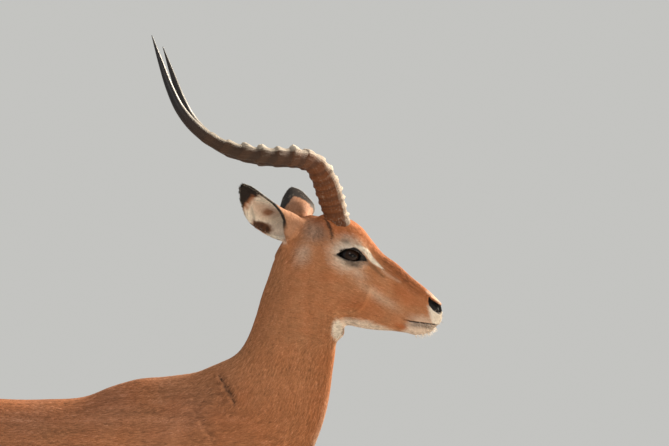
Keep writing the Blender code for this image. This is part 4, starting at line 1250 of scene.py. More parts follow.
def coat_lie(p, normal, random):
    """The way the coat lies: back from the nose over the face, down the neck, back and down along the trunk
    and down the legs, out to the tip on the ears, and turned a little by slow waves."""
    face, _, neck, leg, ear = regions(p)
    x, side, z = p[:, 0], np.abs(p[:, 1]), p[:, 2]
    along, up = on_head(p)
    slit, height = eye_axes(along, up)
    round_eye = bell(np.hypot(slit, height) / 26)[:, None] * np.sign(height)[:, None]
    low_cheek = rise(-up, 0, 60)[:, None]
    over_face = -HEAD_AXIS + HEAD_UP * (0.30 * round_eye) - HEAD_UP * 0.45 * low_cheek
    down_neck = -NECK_AXIS - 0.22 * NECK_FRONT
    sink = (0.18 + 0.5 * rise(-z, -760, -600))[:, None]
    way = np.array([-1.0, 0, 0]) - sink * np.array([0, 0, 1.0])
    way = blend(way, down_neck, neck[:, None])
    way = blend(way, over_face, face[:, None])
    way = blend(way, np.array([-0.12, 0.0, -1.0]), leg[:, None])
    for cup in EAR_CUPS.values():
        way[(ear > 0.2) & in_box(p, *cup.box)] = cup.along
    tail = rise(-x, 585, 615) * rise(-side, -30, -20)
    way = blend(way, np.array([-0.25, 0, -1.0]), tail[:, None])
    way = unit(way - normal * (way * normal).sum(1)[:, None])
    curl = bell((x - 96) / 40) * bell((z - 870) / 34) * rise(side, 20, 50)
    turn = 0.16 * spotted(p, 26, 6) + 0.9 * curl * spotted(p, 9, 9) + random * (0.10 + 0.2 * curl)
    across = np.cross(normal, way)
    return way * np.cos(turn)[:, None] + across * np.sin(turn)[:, None]


def coat_size(p):
    """Length, width and lift of a tuft and its room on the skin, at each point."""
    face, muzzle, neck, leg, ear = (share[:, None] for share in regions(p))
    size = blend(blend(TRUNK_COAT, NECK_COAT, neck), blend(FACE_COAT, MUZZLE_COAT, muzzle), face)
    size = blend(blend(size, LEG_COAT, leg), EAR_COAT, ear)
    belly = rise(-p[:, 2], -600, -540)[:, None] * (1 - leg) * rise(p[:, 0], -420, -380)[:, None]
    return size * (1 + BELLY_LONGER * belly)


# ---------------- meshes from arrays

BAKE_MAP = "OFBake"
SAME_POINT = 1e-6
UNWRAP_ANGLE, UNWRAP_MARGIN = 1.15, 0.001


def new_mesh(name, points, faces, uv=None, values=None):
    """An object from points in the frame and equal-sided faces, with its UV map and its points' values: four
    columns make a colour."""
    faces = np.asarray(faces, np.int32)
    sides = faces.shape[1]
    mesh = bpy.data.meshes.new(name)
    mesh.vertices.add(len(points))
    mesh.vertices.foreach_set("co", np.asarray(points, np.float32).ravel())
    mesh.loops.add(faces.size)
    mesh.loops.foreach_set("vertex_index", faces.ravel())
    mesh.polygons.add(len(faces))
    mesh.polygons.foreach_set("loop_start", np.arange(0, faces.size, sides, dtype=np.int32))
    mesh.polygons.foreach_set("use_smooth", np.full(len(faces), True))
    mesh.update(calc_edges=True)
    if uv is not None:
        layer = mesh.uv_layers.new(name=BAKE_MAP)
        layer.uv.foreach_set("vector", np.asarray(uv, np.float32).ravel())
    for label, data in (values or {}).items():
        kind, field = ("FLOAT_COLOR", "color") if np.ndim(data) == 2 else ("FLOAT", "value")
        attribute = mesh.attributes.new(label, kind, "POINT")
        attribute.data.foreach_set(field, np.asarray(data, np.float32).ravel())
    made = bpy.data.objects.new(name, mesh)
    bpy.context.scene.collection.objects.link(made)
    return made


def grid_faces(rows, columns, closed):
    """Quads of a grid of points, joined round its columns where it is closed."""
    i, j = np.meshgrid(np.arange(rows - 1), np.arange(columns if closed else columns - 1), indexing="ij")
    near, next_one = i * columns + j, i * columns + (j + 1) % columns
    return np.stack([near, next_one, next_one + columns, near + columns], -1).reshape(-1, 4)


def closed_tube(rings):
    """Points and quads of a tube through rings, each end drawn in to a point."""
    first, last = (np.broadcast_to(end.mean(1, keepdims=True), end.shape) for end in (rings[:1], rings[-1:]))
    rings = np.concatenate([first, rings, last])
    return rings.reshape(-1, 3), grid_faces(*rings.shape[:2], closed=True)


def outward(made):
    """Merges doubled points and turns all faces outwards."""
    bm = bmesh.new()
    bm.from_mesh(made.data)
    bmesh.ops.remove_doubles(bm, verts=bm.verts, dist=SAME_POINT)
    bmesh.ops.recalc_face_normals(bm, faces=bm.faces)
    bm.to_mesh(made.data)
    bm.free()
    return made


def unwrap(made):
    """Unwraps a mesh by the directions its own faces turn to, into its map for baking."""
    bpy.context.view_layer.objects.active = made
    made.select_set(True)
    made.data.uv_layers.new(name=BAKE_MAP)
    bpy.ops.object.mode_set(mode="EDIT")
    bpy.ops.mesh.select_all(action="SELECT")
    bpy.ops.uv.smart_project(angle_limit=UNWRAP_ANGLE, island_margin=UNWRAP_MARGIN)
    bpy.ops.object.mode_set(mode="OBJECT")
    made.select_set(False)


class Skin:
    """The finished skin as arrays, for the coat to grow on: points, corners, normals and places unwrapped."""

    def __init__(self, made):
        mesh = made.data
        points, self.triangles = mesh_arrays(mesh)
        self.points = unplaced(points)
        self.normals = read(mesh.vertex_normals, "vector", 3).astype(float)
        self.uv = read(mesh.uv_layers[BAKE_MAP].uv, "vector", 2).reshape(-1, 3, 2)
        a, b, c = (self.points[self.triangles[:, k]] for k in range(3))
        self.area = np.linalg.norm(np.cross(b - a, c - a), axis=1) / 2
        self.middle = (a + b + c) / 3

    def scatter(self, number, random):
        """Roots on triangles, `number` of them on each: their places, normals and unwrapped places."""
        picked = np.repeat(np.arange(len(self.triangles)), number)
        share = random.random((len(picked), 2))
        over = share.sum(1) > 1
        share[over] = 1 - share[over]
        weight = np.column_stack([1 - share.sum(1), share])[:, :, None]
        corners = self.triangles[picked]
        root = (self.points[corners] * weight).sum(1)
        normal = unit((self.normals[corners] * weight).sum(1))
        return root, normal, (self.uv[picked] * weight).sum(1)


# ---------------- tufts and hairs

BAKE_PATCH = 0.003
TUFT_FACES = np.array([(0, 2, 3), (1, 3, 2), (0, 1, 2), (0, 3, 1)])
TUFT_PATCH = np.array([(0.0, 0.0), (1.0, 0.0), (0.5, 0.45), (0.5, 1.0)])
# How the normals at a tuft's feet, crest and tip lean across it and along it.
LEAN_ACROSS = np.array([-0.42, 0.42, 0.0, 0.0])[None, :, None]
LEAN_ALONG = np.array([-0.15, -0.15, 0.05, 0.35])[None, :, None]
HAIR_RINGS = 5


def many(name, points, faces, patch, uv, marks, tone):
    """One object of many alike pieces: points is (pieces, points of one, 3), faces and patch are those of
    one, and marks and tone have a row for each piece."""
    count, per = points.shape[:2]
    every = (faces[None] + per * np.arange(count)[:, None, None]).reshape(-1, 3)
    unwrapped = uv[:, None, :] + (patch - 0.5) * BAKE_PATCH
    values = {"marks": np.repeat(marks, per, axis=0), "lock": np.repeat(tone, per)}
    corner_uv = unwrapped[:, faces.ravel(), :].reshape(-1, 2)
    return new_mesh(name, placed(points.reshape(-1, 3)), every, corner_uv, values)


def tuft_object(name, root, normal, way, uv, size, tone):
    """Tufts as closed wedges with two feet in the skin, a crest and a tip, that follow the coat's lie. Their
    soft normals follow the skin's."""
    length, width, lift = (size[:, k, None] for k in range(3))
    right = np.cross(way, normal)
    foot = root - normal * 0.5
    left_foot, right_foot = foot - right * width / 2, foot + right * width / 2
    crest = root + way * length * 0.42 + normal * lift * 0.75
    tip = root + way * length + normal * lift * 0.55
    points = np.stack([left_foot, right_foot, crest, tip], axis=1)
    made = many(name, points, TUFT_FACES, TUFT_PATCH, uv, markings(root), tone)
    lean = LEAN_ACROSS * right[:, None, :] + LEAN_ALONG * way[:, None, :]
    normals = unit(normal[:, None, :] + lean).reshape(-1, 3)
    made.data.normals_split_custom_set_from_vertices(normals.tolist())
    return made


def hair_faces():
    """Triangles of one hair: a three-sided tube with a face at each end."""
    faces = []
    for a in range(3 * (HAIR_RINGS - 1)):
        b = a + 1 if a % 3 < 2 else a - 2
        faces += [(a, b, b + 3), (a, b + 3, a + 3)]
    last = 3 * (HAIR_RINGS - 1)
    return np.array([*faces, (0, 2, 1), (last, last + 1, last + 2)])


def hair_object(name, root, start, end, length, width, uv, marks, tone):
    """Single hairs: three-sided tapering tubes whose path turns evenly from the start direction to the end's.
    The point at share t is root + length * (t * start + t^2 / 2 * (end - start))."""
    t = np.linspace(0, 1, HAIR_RINGS)[None, :, None]
    start, end = unit(start)[:, None, :], unit(end)[:, None, :]
    centre = root[:, None, :] + length[:, None, None] * (t * start + t * t / 2 * (end - start))
    tangent = unit(start + t * (end - start))
    side = unit(np.cross(tangent, np.array([0.31, 0.12, 0.94])))
    other = np.cross(tangent, side)
    radius = width[:, None, None] / 2 * (1 - 0.97 * t**1.5)
    angles = [2 * np.pi * k / 3 for k in range(3)]
    rings = [centre + radius * (np.cos(angle) * side + np.sin(angle) * other) for angle in angles]
    points = np.stack(rings, axis=2).reshape(len(root), -1, 3)
    round_it, along_it = np.tile((0.0, 1.0, 0.5), HAIR_RINGS), np.repeat(t.ravel(), 3)
    return many(name, points, hair_faces(), np.column_stack([round_it, along_it]), uv, marks, tone)


# ---------------- eyes, horns and hooves

EYE_STEPS, EYE_SIDES = 56, 88
HORN_STEPS, HORN_SIDES = 560, 64
CLAW_STEPS, CLAW_SIDES = 34, 48
# The space from ring to ring at the horn's foot and past its middle, and the share where the rings end.
RING_SPACES = 15.5, 34.0
RINGS_END = 0.76


def eyeball(name, side):
    """A ball whose front bulges: at the angle phi from its axis the radius is R - 0.3 + 1.1 bell(phi/0.6)."""
    axis = unit(HEAD_AXIS * 0.26 + HEAD_UP * 0.06 + np.array([0, side * 0.96, 0]))
    flat = unit(HEAD_AXIS * np.cos(EYE_TURN) + HEAD_UP * np.sin(EYE_TURN))
    flat = unit(flat - axis * (flat @ axis))
    high = np.cross(axis, flat) * side * -1
    phi = np.linspace(0.02, np.pi - 0.02, EYE_STEPS)[:, None, None]
    theta = circle(EYE_SIDES)[None, :, None]
    way = np.cos(phi) * axis + np.sin(phi) * (np.cos(theta) * flat + np.sin(theta) * high)
    radius = EYE_RADIUS - 0.3 + 1.1 * bell(phi / 0.6)
    middle = head_point(EYE_ALONG, EYE_UP, side * EYE_SIDE)
    points, faces = closed_tube(middle + radius * way)
    rel = unit(points - middle)
    values = {"eye_along": rel @ flat, "eye_up": rel @ high, "eye_front": rel @ axis}
    return outward(new_mesh(name, placed(points), faces, values=values))


def horn_rings(share, angle, length, side):
    """Height of a horn's rings, of the fine ribs that run lengthwise, and where both fade out. Each ring is a
    sharp bell near the foot and leans to the tip above, over the space from ring to ring."""
    spacing = blend(*RING_SPACES, rise(share, 0.04, 0.42))
    phase = np.cumsum(np.gradient(share) * length / spacing)[:, None]
    ahead = np.cos(angle)
    phase = phase + 0.10 * ahead + 0.05 * np.sin(2 * angle + 5 * np.floor(phase))
    ring, part = np.floor(phase), phase - np.floor(phase)
    strength = 0.75 + 0.25 * np.sin(ring * 2.4 + side)
    sharp = bell((part - 0.5) / 0.17) + 0.35 * bell((part - 0.93) / 0.08) * (0.5 + 0.5 * np.sin(ring * 3.7))
    leaning = rise(part, 0.12, 0.74) ** 1.4 * rise(-part, -0.93, -0.78) * 1.25
    shape = blend(sharp, leaning, rise(share, 0.16, 0.34)[:, None])
    fade = rise(-share, -RINGS_END, -0.46)[:, None] * rise(share, 0.012, 0.04)[:, None]
    knobs = 0.16 * np.sin(angle * 9 + ring * 2.1) + 0.10 * np.sin(angle * 17 - ring * 1.3)
    knobs = knobs * (0.6 + 0.4 * ahead) + 0.17 * rise(-share, -0.34, -0.22)[:, None] * (1 - ahead)
    ridge = fade * strength * shape * (0.30 + 0.36 * ahead + 0.36 * ahead**2 + knobs)
    ribs = 0.16 * np.sin(angle * 23 + 3 * np.sin(phase)) * fade
    return ridge, ribs, fade


def horn(name, side, ring_height):
    """A curved cone carried along the horn's path, with rings that stand out most in front, and a ragged
    collar at its foot."""
    rows = np.asarray(HORN_ROWS, float)
    run = np.concatenate([[0], np.cumsum(np.linalg.norm(np.diff(rows[:, :3], axis=0), axis=1))])
    share = np.linspace(0, 1, HORN_STEPS)
    path = smooth_curve(run, rows, share * run[-1])
    centre, thick = path[:, :3] * (1, side, 1), path[:, 3] / 2
    tangent = unit(np.gradient(centre, axis=0))
    front = np.cross(tangent, np.array([0.0, 1.0, 0.0]) * side)
    front *= np.where(front @ np.array([1.0, 0.0, 1.0]) < 0, -1, 1)[:, None]
    front = unit(front)
    across = np.cross(tangent, front)
    angle = circle(HORN_SIDES)[None, :]
    ridge, ribs, fade = horn_rings(share, angle, run[-1], side)
    ring_height = ring_height * blend(1.0, 1.45, bell((share - 0.44) / 0.16))[:, None]
    radius = thick[:, None] - 0.62 * ring_height * fade + ring_height * ridge + ribs
    collar = bell((share[:, None] * run[-1] - 13) / 6) * (0.9 + 0.4 * np.sin(angle * 11))
    radius = np.maximum(radius + collar, 0.35)
    width = 0.88 + 0.05 * rise(share, 0.4, 0.8)[:, None]
    rings = centre[:, None, :] + front[:, None, :] * (radius * np.cos(angle))[:, :, None]
    rings = rings + across[:, None, :] * (radius * width * np.sin(angle))[:, :, None]
    points, faces = closed_tube(rings)

    def on_rings(values):
        values = np.broadcast_to(values, radius.shape)
        return np.concatenate([values[:1], values, values[-1:]]).ravel()

    fields = {"ridge": np.clip(ridge, 0, 1.4), "share": share[:, None], "turn": np.abs(angle / np.pi - 1)}
    values = {label: on_rings(field) for label, field in fields.items()}
    return outward(new_mesh(name, placed(points), faces, values=values))


def claw(name, place, inward):
    """One half of a cloven hoof: rings of a rounded outline that comes to a point in front and is flatter on
    the side that faces its twin, from a flat sole to a soft top, with faint growth rings."""
    rows = np.asarray(CLAW_ROWS, float)
    height = np.concatenate([[0.0], np.linspace(0.0, HOOF_TOP, CLAW_STEPS), [HOOF_TOP + 1.0]])
    long, wide, back = (smooth_curve(rows[:, 0], rows[:, k], height) for k in (1, 2, 3))
    shrink = np.concatenate([[0.90], np.ones(len(height) - 2), [0.80]])
    grown = 1 + 0.012 * np.sin(height * 1.35) * rise(height, 2, 8)
    long, wide = long * shrink * grown, wide * shrink * grown
    angle = circle(CLAW_SIDES)[None, :]
    ahead = np.cos(angle)
    pinch = 1 - 0.5 * np.clip(ahead, 0, 1) ** 1.6
    bulge = np.where(np.sin(angle) * inward > 0, 0.86, 1.0)
    rings = np.empty((len(height), angle.size, 3))
    rings[:, :, 0] = long[:, None] * ahead - back[:, None]
    rings[:, :, 1] = wide[:, None] * np.sin(angle) * pinch * bulge
    rings[:, :, 2] = height[:, None]
    points, faces = closed_tube(rings + np.asarray(place, float))
    return outward(new_mesh(name, placed(points), faces))


# ---------------- material nodes


def math_node(operation, swapped=False):
    """A Math node on a wire and a second value."""

    def added(wire, other=0.0):
        values = (other, wire) if swapped else (wire, other)
        return wire.nodes.node("Math", dict(enumerate(values)), operation=operation)

    return added


class Wire:
    """A value's socket in a material, which sums, differences and products add Math nodes to."""

    def __init__(self, nodes, socket):
        self.nodes, self.socket = nodes, socket

    __add__ = __radd__ = math_node("ADD")
    __mul__ = __rmul__ = math_node("MULTIPLY")
    __sub__ = math_node("SUBTRACT")
    __rsub__ = math_node("SUBTRACT", swapped=True)
    __abs__ = math_node("ABSOLUTE")


class Nodes:
    """A material's tree, with the shader that ends it."""

    def __init__(self, name):
        self.material = bpy.data.materials.new(name)
        self.material.use_nodes = True
        self.tree = self.material.node_tree
        self.shader = self.tree.nodes["Principled BSDF"]

    def node(self, kind, inputs=None, output=0, **settings):
        """Adds a node, sets its settings, then feeds its sockets with numbers, colours or wires."""
        made = self.tree.nodes.new("ShaderNode" + kind)
        for key, value in settings.items():
            setattr(made, key, value)
        for key, value in (inputs or {}).items():
            self.feed(made.inputs[key], value)
        return Wire(self, made.outputs[output])

    def feed(self, socket, value):
        """Sets or links a socket. A colour given as three numbers is opaque."""
        if isinstance(value, Wire):
            self.tree.links.new(value.socket, socket)
        elif socket.type == "RGBA" and len(value) == 3:
            socket.default_value = (*value, 1)
        else:
            socket.default_value = value

    def ends(self, **values):
        """Feeds the shader's own sockets. Spaces in their names are written as underscores."""
        for key, value in values.items():
            self.feed(self.shader.inputs[key.replace("_", " ")], value)
        return self.material

    def rise(self, value, start, end):
        inputs = {0: value, 1: start, 2: end, 3: 0.0, 4: 1.0}
        return self.node("MapRange", inputs, interpolation_type="SMOOTHSTEP")

    def mix(self, share, first, second, how="MIX"):
        inputs = {0: share, 6: first, 7: second}
        return self.node("Mix", inputs, 2, data_type="RGBA", blend_type=how, clamp_factor=True)

    def noise(self, place, scale, detail, rough):
        inputs = {"Vector": place, "Scale": scale, "Detail": detail, "Roughness": rough}
        return self.node("TexNoise", inputs)

    def place(self, scale=(1, 1, 1), turn=(0, 0, 0)):
        """The object's own coordinates, turned and then stretched."""
        turned = self.node("Mapping", {"Vector": self.node("TexCoord", output=3), "Rotation": turn})
        return self.node("Mapping", {"Vector": turned, "Scale": scale})

    def value(self, name):
        return self.node("Attribute", output=2, attribute_name=name)

    def bump(self, height, depth, strength):
        return self.node("Bump", {"Height": height, "Distance": depth, "Strength": strength})


def coat_colour(nodes, colours):
    """The coat's colours laid over one another by the shares in "marks", with edges broken by fine noise."""
    marks = nodes.node("Attribute", attribute_name="marks")
    split = nodes.node("SeparateColor", {0: marks})
    dark, pale, red = (Wire(nodes, split.socket.node.outputs[k]) for k in range(3))
    grey = Wire(nodes, marks.socket.node.outputs["Alpha"])
    where = nodes.place()
    grain = nodes.noise(where, 420, 3, 0.6) - 0.5
    patch = nodes.noise(where, 22, 2, 0.5) - 0.5
    lock = nodes.value("lock")
    red = red + patch * 0.35 + lock * 0.10
    pale = pale + grain * 0.10 + lock * 0.06
    colour = nodes.mix(red, colours.tan, colours.rufous)
    for share, over in ((grey, colours.grey), (pale, colours.cream), (dark, colours.dark)):
        colour = nodes.mix(share, colour, over)
    shade = 1 + lock * 0.32 + grain * 0.34 + patch * 0.16
    return nodes.mix(1.0, colour, shade, "MULTIPLY")


def skin_material(colours):
    """Short hair seen close: the coat's colours over fine streaks, and naked dark skin where it is bare."""
    nodes = Nodes("skin_with_short_hair")
    bare = nodes.value("bare")
    colour = nodes.mix(bare, coat_colour(nodes, colours), colours.bare)
    streaks = nodes.noise(nodes.place((150, 700, 700), (0, 0.5, 0)), 1, 3, 0.6)
    pores = nodes.noise(nodes.place(), 1500, 2, 0.5)
    normal = nodes.bump(streaks * (1 - bare) + pores * bare * 0.4, 0.0006, 0.6)
    return nodes.ends(
        Base_Color=colour, Roughness=0.72 - bare * 0.12, Normal=normal, Specular_IOR_Level=0.24
    )


def coat_material(colours):
    """Tufts: the coat's colours with a soft sheen."""
    nodes = Nodes("coat_tufts")
    grain = nodes.noise(nodes.place(), 700, 2, 0.5)
    return nodes.ends(
        Roughness=0.58 + grain * 0.20,
        Base_Color=coat_colour(nodes, colours),
        Specular_IOR_Level=0.18,
        Sheen_Weight=0.04,
        Sheen_Roughness=0.45,
    )


def horn_material(colours):
    """Dark horn: brown and scurfy at the foot, worn grey on its rings, near black at the tip, with a painted
    highlight on the side that faces up and ahead and painted shade between the rings.
    """
    nodes = Nodes("ringed_horn")
    ridge, share, turn = (nodes.value(name) for name in ("ridge", "share", "turn"))
    lengthwise = nodes.node("CombineXYZ", {0: turn * 26, 1: share * 7})
    streaks = nodes.noise(lengthwise, 1.6, 4, 0.6)
    grain = nodes.noise(nodes.place(), 260, 4, 0.65)
    base = nodes.rise(share, 0.46, 0.16)
    tip = nodes.rise(share, 0.60, 0.80)
    front = nodes.rise(turn + (streaks - 0.5) * 0.36, 0.67, 0.84)
    worn = nodes.rise(ridge + (grain - 0.5) * 0.7, 0.30, 1.0) * (0.25 + front * 0.55)
    # A pale band on the side that faces up and ahead: partly worn pale horn, partly a painted highlight of
    # the light that falls on that side, faded towards the tip.
    front_pale_and_highlight = front * (1 - tip * 0.85) * (0.34 + streaks * 0.40)
    scurf = nodes.rise(grain + streaks * 0.5, 0.76, 0.97) * base
    scurf = scurf * (0.14 + nodes.rise(share, 0.045, 0.0) * 0.5)
    colour = nodes.mix(base, colours.horn, colours.horn_base)
    colour = nodes.mix(tip, colour, colours.horn_tip)
    # Painted highlight and wear: the pale front band, the worn ring tops and the scurf laid over the horn.
    for pale_share in (front_pale_and_highlight, worn, scurf):
        colour = nodes.mix(pale_share, colour, colours.horn_wear_and_highlight)
    # Painted shade: the horn is darker in the grooves between its rings, where shade falls.
    painted_groove_shade = nodes.rise(ridge, 0.10, 0.0) * (1 - tip)
    colour = nodes.mix(1.0, colour, (0.66 + streaks * 0.68) * (1 - painted_groove_shade * 0.30), "MULTIPLY")
    roughness = 0.62 + grain * 0.16 - tip * 0.30
    normal = nodes.bump(streaks * (1 - tip * 0.8) + grain * 0.5 * (1 - tip * 0.7), 0.0016, 0.75)
    return nodes.ends(Base_Color=colour, Roughness=roughness, Normal=normal, Specular_IOR_Level=0.30)


def hoof_material(colours):
    """Hoof horn: near black, with streaks that run down and faint rings, duller and paler at the sole."""
    nodes = Nodes("hoof_horn")
    streaks = nodes.noise(nodes.place((420, 420, 50)), 1, 3, 0.6)
    rings = nodes.noise(nodes.place((60, 60, 460)), 1, 2, 0.5)
    height = nodes.node("SeparateXYZ", {0: nodes.place()}, 2)
    worn = nodes.rise(height, 0.014, 0.0)
    colour = nodes.mix(streaks * 0.7, colours.hoof, colours.hoof_streak)
    colour = nodes.mix(worn * 0.5, colour, colours.horn_wear_and_highlight)
    normal = nodes.bump(streaks * 0.5 + rings, 0.0008, 0.6)
    roughness = 0.48 + worn * 0.24 + streaks * 0.12
    return nodes.ends(Base_Color=colour, Roughness=roughness, Normal=normal, Specular_IOR_Level=0.30)


def eye_material(colours):
    """A dark brown iris with fine fibres round a wide level pupil, under a wet clear front."""
    nodes = Nodes("wet_eye")
    along, high, front = (nodes.value(f"eye_{word}") for word in ("along", "up", "front"))
    flat = nodes.node("CombineXYZ", {0: along, 1: high, 2: 0.0})
    round_it = nodes.node("VectorMath", {0: flat}, operation="NORMALIZE")
    fibres = nodes.noise(round_it, 9, 3, 0.6)
    pupil = nodes.rise(abs(along) * 2.1 + abs(high) * 4.6, 1.05, 0.85)
    iris = nodes.rise(front, 0.62, 0.72)
    colour = nodes.mix(fibres, colours.iris_dark, colours.iris)
    colour = nodes.mix(pupil, colour, colours.pupil)
    colour = nodes.mix(iris, colours.bare, colour)
    return nodes.ends(
        Base_Color=colour, Roughness=0.16, Specular_IOR_Level=0.08, Coat_Weight=0.14, Coat_Roughness=0.04
    )


def floor_material(colours):
    nodes = Nodes("pale_floor")
    mottle = nodes.noise(nodes.place(), 3, 3, 0.5)
    return nodes.ends(Base_Color=nodes.mix(mottle, colours.floor, colours.floor_light), Roughness=0.9)


# ---------------- settings


def length_property(label, words, default, low, high):
    return bpy.props.FloatProperty(
        name=label, description=words, default=default, min=low, max=high, subtype="DISTANCE", unit="LENGTH"
    )


def factor_property(label, words, low, high):
    return bpy.props.FloatProperty(
        name=label, description=words, default=1.0, min=low, max=high, subtype="FACTOR"
    )


def colour_property(label, words, default):
    return bpy.props.FloatVectorProperty(
        name=label, description=words, default=default, size=3, min=0.0, max=1.0, subtype="COLOR"
    )


class ImpalaSizes(bpy.types.PropertyGroup):
    coat_length: factor_property("Coat length", "Tuft length against the natural one", 0.3, 2.0)
    coat_number: factor_property("Coat number", "Tufts grown against a full coat", 0.05, 1.1)
    ring_height: length_property("Ring height", "How far the horns' rings stand out", 0.0038, 0.0, 0.006)
    lash_length: length_property("Lash length", "Length of the upper lashes", 0.0075, 0.002, 0.015)
    bristle_length: length_property("Bristle length", "Length of the chin's bristles", 0.010, 0.002, 0.02)


class ImpalaColours(bpy.types.PropertyGroup):
    rufous: colour_property("Rufous", "Saddle, forehead and nose", (0.40, 0.128, 0.042))
    tan: colour_property("Tan", "Flanks, cheeks and legs", (0.46, 0.235, 0.115))
    cream: colour_property("Cream", "Belly, throat, lips and eye marks", (0.80, 0.705, 0.59))
    grey: colour_property("Grey", "Round the eye and inside the ear", (0.30, 0.21, 0.165))
    dark: colour_property("Dark", "Ear tips, stripes and glands", (0.022, 0.014, 0.011))
    bare: colour_property("Bare skin", "Lid edges, nostrils and lips", (0.012, 0.010, 0.010))
    horn: colour_property("Horn", "Middle of the horns", (0.050, 0.023, 0.011))
    horn_base: colour_property("Horn base", "Brown foot of the horns", (0.130, 0.036, 0.007))
    horn_tip: colour_property("Horn tip", "Smooth end of the horns", (0.013, 0.011, 0.012))
    # Also painted over the horns' front side as a highlight of the light that falls there.
    horn_wear_and_highlight: colour_property("Worn horn", "Tops of the rings", (0.56, 0.48, 0.39))
    hoof: colour_property("Hoof", "Hoof horn", (0.018, 0.014, 0.012))
    hoof_streak: colour_property("Hoof streaks", "Paler streaks in the hooves", (0.075, 0.055, 0.042))
    iris: colour_property("Iris", "Light fibres of the iris", (0.026, 0.012, 0.006))
    iris_dark: colour_property("Dark iris", "Dark fibres of the iris", (0.008, 0.004, 0.003))
    pupil: colour_property("Pupil", "The wide level pupil", (0.002, 0.002, 0.003))
    floor: colour_property("Floor", "The floor's darker patches", (0.60, 0.597, 0.585))
    floor_light: colour_property("Light floor", "The floor's lighter patches", (0.64, 0.637, 0.625))


# ---------------- operators

FLESH_NODES = ["head", "neck", "trunk", "tail"] + [
    f"{part}_{word}" for part in ("ear", "front_leg", "hind_leg") for word, _ in SIDES
]
MOST_FACES = 200_000
DOWN = np.array([0, 0, -1.0])
# Dark, pale, red and grey shares of hairs whose colour doesn't come from the markings.
DARK_HAIR, WHITE_HAIR = (0.95, 0, 0, 0), (0, 1, 0, 0)
LIP_HAIR, RIM_HAIR = (0.4, 0.5, 0, 0), (0.1, 0.85, 0.2, 0)
INNER_HAIR, GLAND_HAIR = (0, 0.95, 0, 0.15), (0.98, 0, 0, 0)


def finished(made, material):
    """Gives a piece its material and its place in the model's table."""
    if len(made.data.polygons) >= MOST_FACES:
        raise RuntimeError(f"{made.name} has {len(made.data.polygons)} faces")
    made.data.materials.clear()
    made.data.materials.append(material)
    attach(made, "root")
    return made


def coat_look(context):
    """The tufts' material, made once."""
    return bpy.data.materials.get("coat_tufts") or coat_material(context.scene.impala_colours)


def whole(wanted, random):
    """Whole numbers that are as wanted on average."""
    return np.floor(wanted + random.random(len(wanted))).astype(int)


def chosen(skin, density, random):
    """Roots on the skin, as many to each square millimetre as the density says."""
    return skin.scatter(whole(skin.area * density(skin.middle), random), random)


class IMPALA_OT_skin(bpy.types.Operator):
    """Models the one skin that the coat grows on, with its folds, lids, nostrils, lips and ears"""

    bl_idname = "impala.skin"
    bl_label = "Skin"

    def execute(self, context):
        points, triangles = skin_mesh()
        values = {"marks": markings(points), "bare": bare_skin(points)}
        made = outward(new_mesh("skin", placed(points), triangles, values=values))
        unwrap(made)
        finished(made, skin_material(context.scene.impala_colours))
        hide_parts(*FLESH_NODES)
        return {"FINISHED"}


class IMPALA_OT_coat(bpy.types.Operator):
    """Grows the short coat: tufts that lie along the body, smallest on the face and feet"""

    bl_idname = "impala.coat"
    bl_label = "Coat"

    def execute(self, context):
        sizes = context.scene.impala_sizes
        random = np.random.default_rng(SEED)
        skin = Skin(bpy.data.objects["skin"])
        room = coat_size(skin.middle)[:, 3]
        wanted = skin.area / room * sizes.coat_number * 1.0
        wanted *= (bare_skin(skin.middle) < 0.3) & (skin.middle[:, 2] > SKIN_BOTTOM + 1)
        root, normal, uv = skin.scatter(whole(wanted, random), random)
        way = coat_lie(root, normal, random.normal(size=len(root)))
        size = coat_size(root)[:, :3] * random.uniform(*SIZE_SPREAD, (len(root), 3))
        size[:, 0] *= sizes.coat_length
        tone = random.normal(0, 0.45, len(root)) + 0.4 * spotted(root, 5, 7) + 0.7 * strands(root)
        tone = np.clip(tone, -TONE_LIMIT, TONE_LIMIT)
        face, _, neck, leg_share, ear = regions(root)
        region = np.select(
            [ear > 0.5, face > 0.5, neck > 0.5, leg_share > 0.5, root[:, 0] > SHOULDERS_FROM],
            ["ears", "face", "neck", "legs", "shoulders"],
            "haunches",
        )
        region = np.where((region == "legs") & (root[:, 0] < FORE_LEGS_FROM), "hind_legs", region)
        for word, sign in SIDES:
            for part in np.unique(region):
                mine = ((root[:, 1] > 0) == (sign > 0)) & (region == part)
                rows = (values[mine] for values in (root, normal, way, uv, size, tone))
                finished(tuft_object(f"coat_{part}_{word}", *rows), coat_look(context))
        return {"FINISHED"}


def lash_density(p):
    slit, height = eye_axes(*on_head(p))
    on_edge = (np.abs(height - lid_edges(slit)[0] - 0.6) < 0.9) & (slit > -17) & (slit < 17)
    return on_edge * (np.abs(p[:, 1]) > 34) * 1.1


def chin_density(p):
    along, up = on_head(p)
    return ((along > 258) & (up < -20) & (up > -52)) * (0.04 + 0.08 * (along > 272))


def lip_density(p):
    along, up = on_head(p)
    return ((along > 240) & (up > -24) & (up < 4) & (np.abs(p[:, 1]) > 6)) * 0.012


def rim_density(p, cup):
    share, angle, _, _, spread = cup.place(p)
    near = within(p, *cup.box, cup.distance) < 1.5
    return near * (np.abs(angle) > spread * 0.94) * (share > 0.12) * (share < 0.99) * 0.5


def cup_density(p, cup):
    """Hairs inside an ear: most in a band along each side, but for the bare patch near its foot."""
    share, angle, radial, radius, spread = cup.place(p)
    near = within(p, *cup.box, cup.distance) < 1.5
    inner = radial < radius - EAR_WALL * 0.6
    bands = 0.15 + bell((np.abs(angle) / spread - 0.72) / 0.16)
    clear = (angle < spread * 0.38) | (share > 0.58)
    return near * inner * bands * clear * (share > 0.08) * (share < 0.74) * 0.14


def tail_density(p):
    on = line_distance(p[:, 0], p[:, 2], TAIL_BONE) < 4
    return on * (p[:, 0] < -612) * (np.abs(p[:, 1]) < 24) * 0.16


def gland_density(p):
    behind = (p[:, 0] - hind_shift(p) < -598) & (p[:, 0] < -400)
    return behind * bell((p[:, 2] - 132) / 20) * 0.30


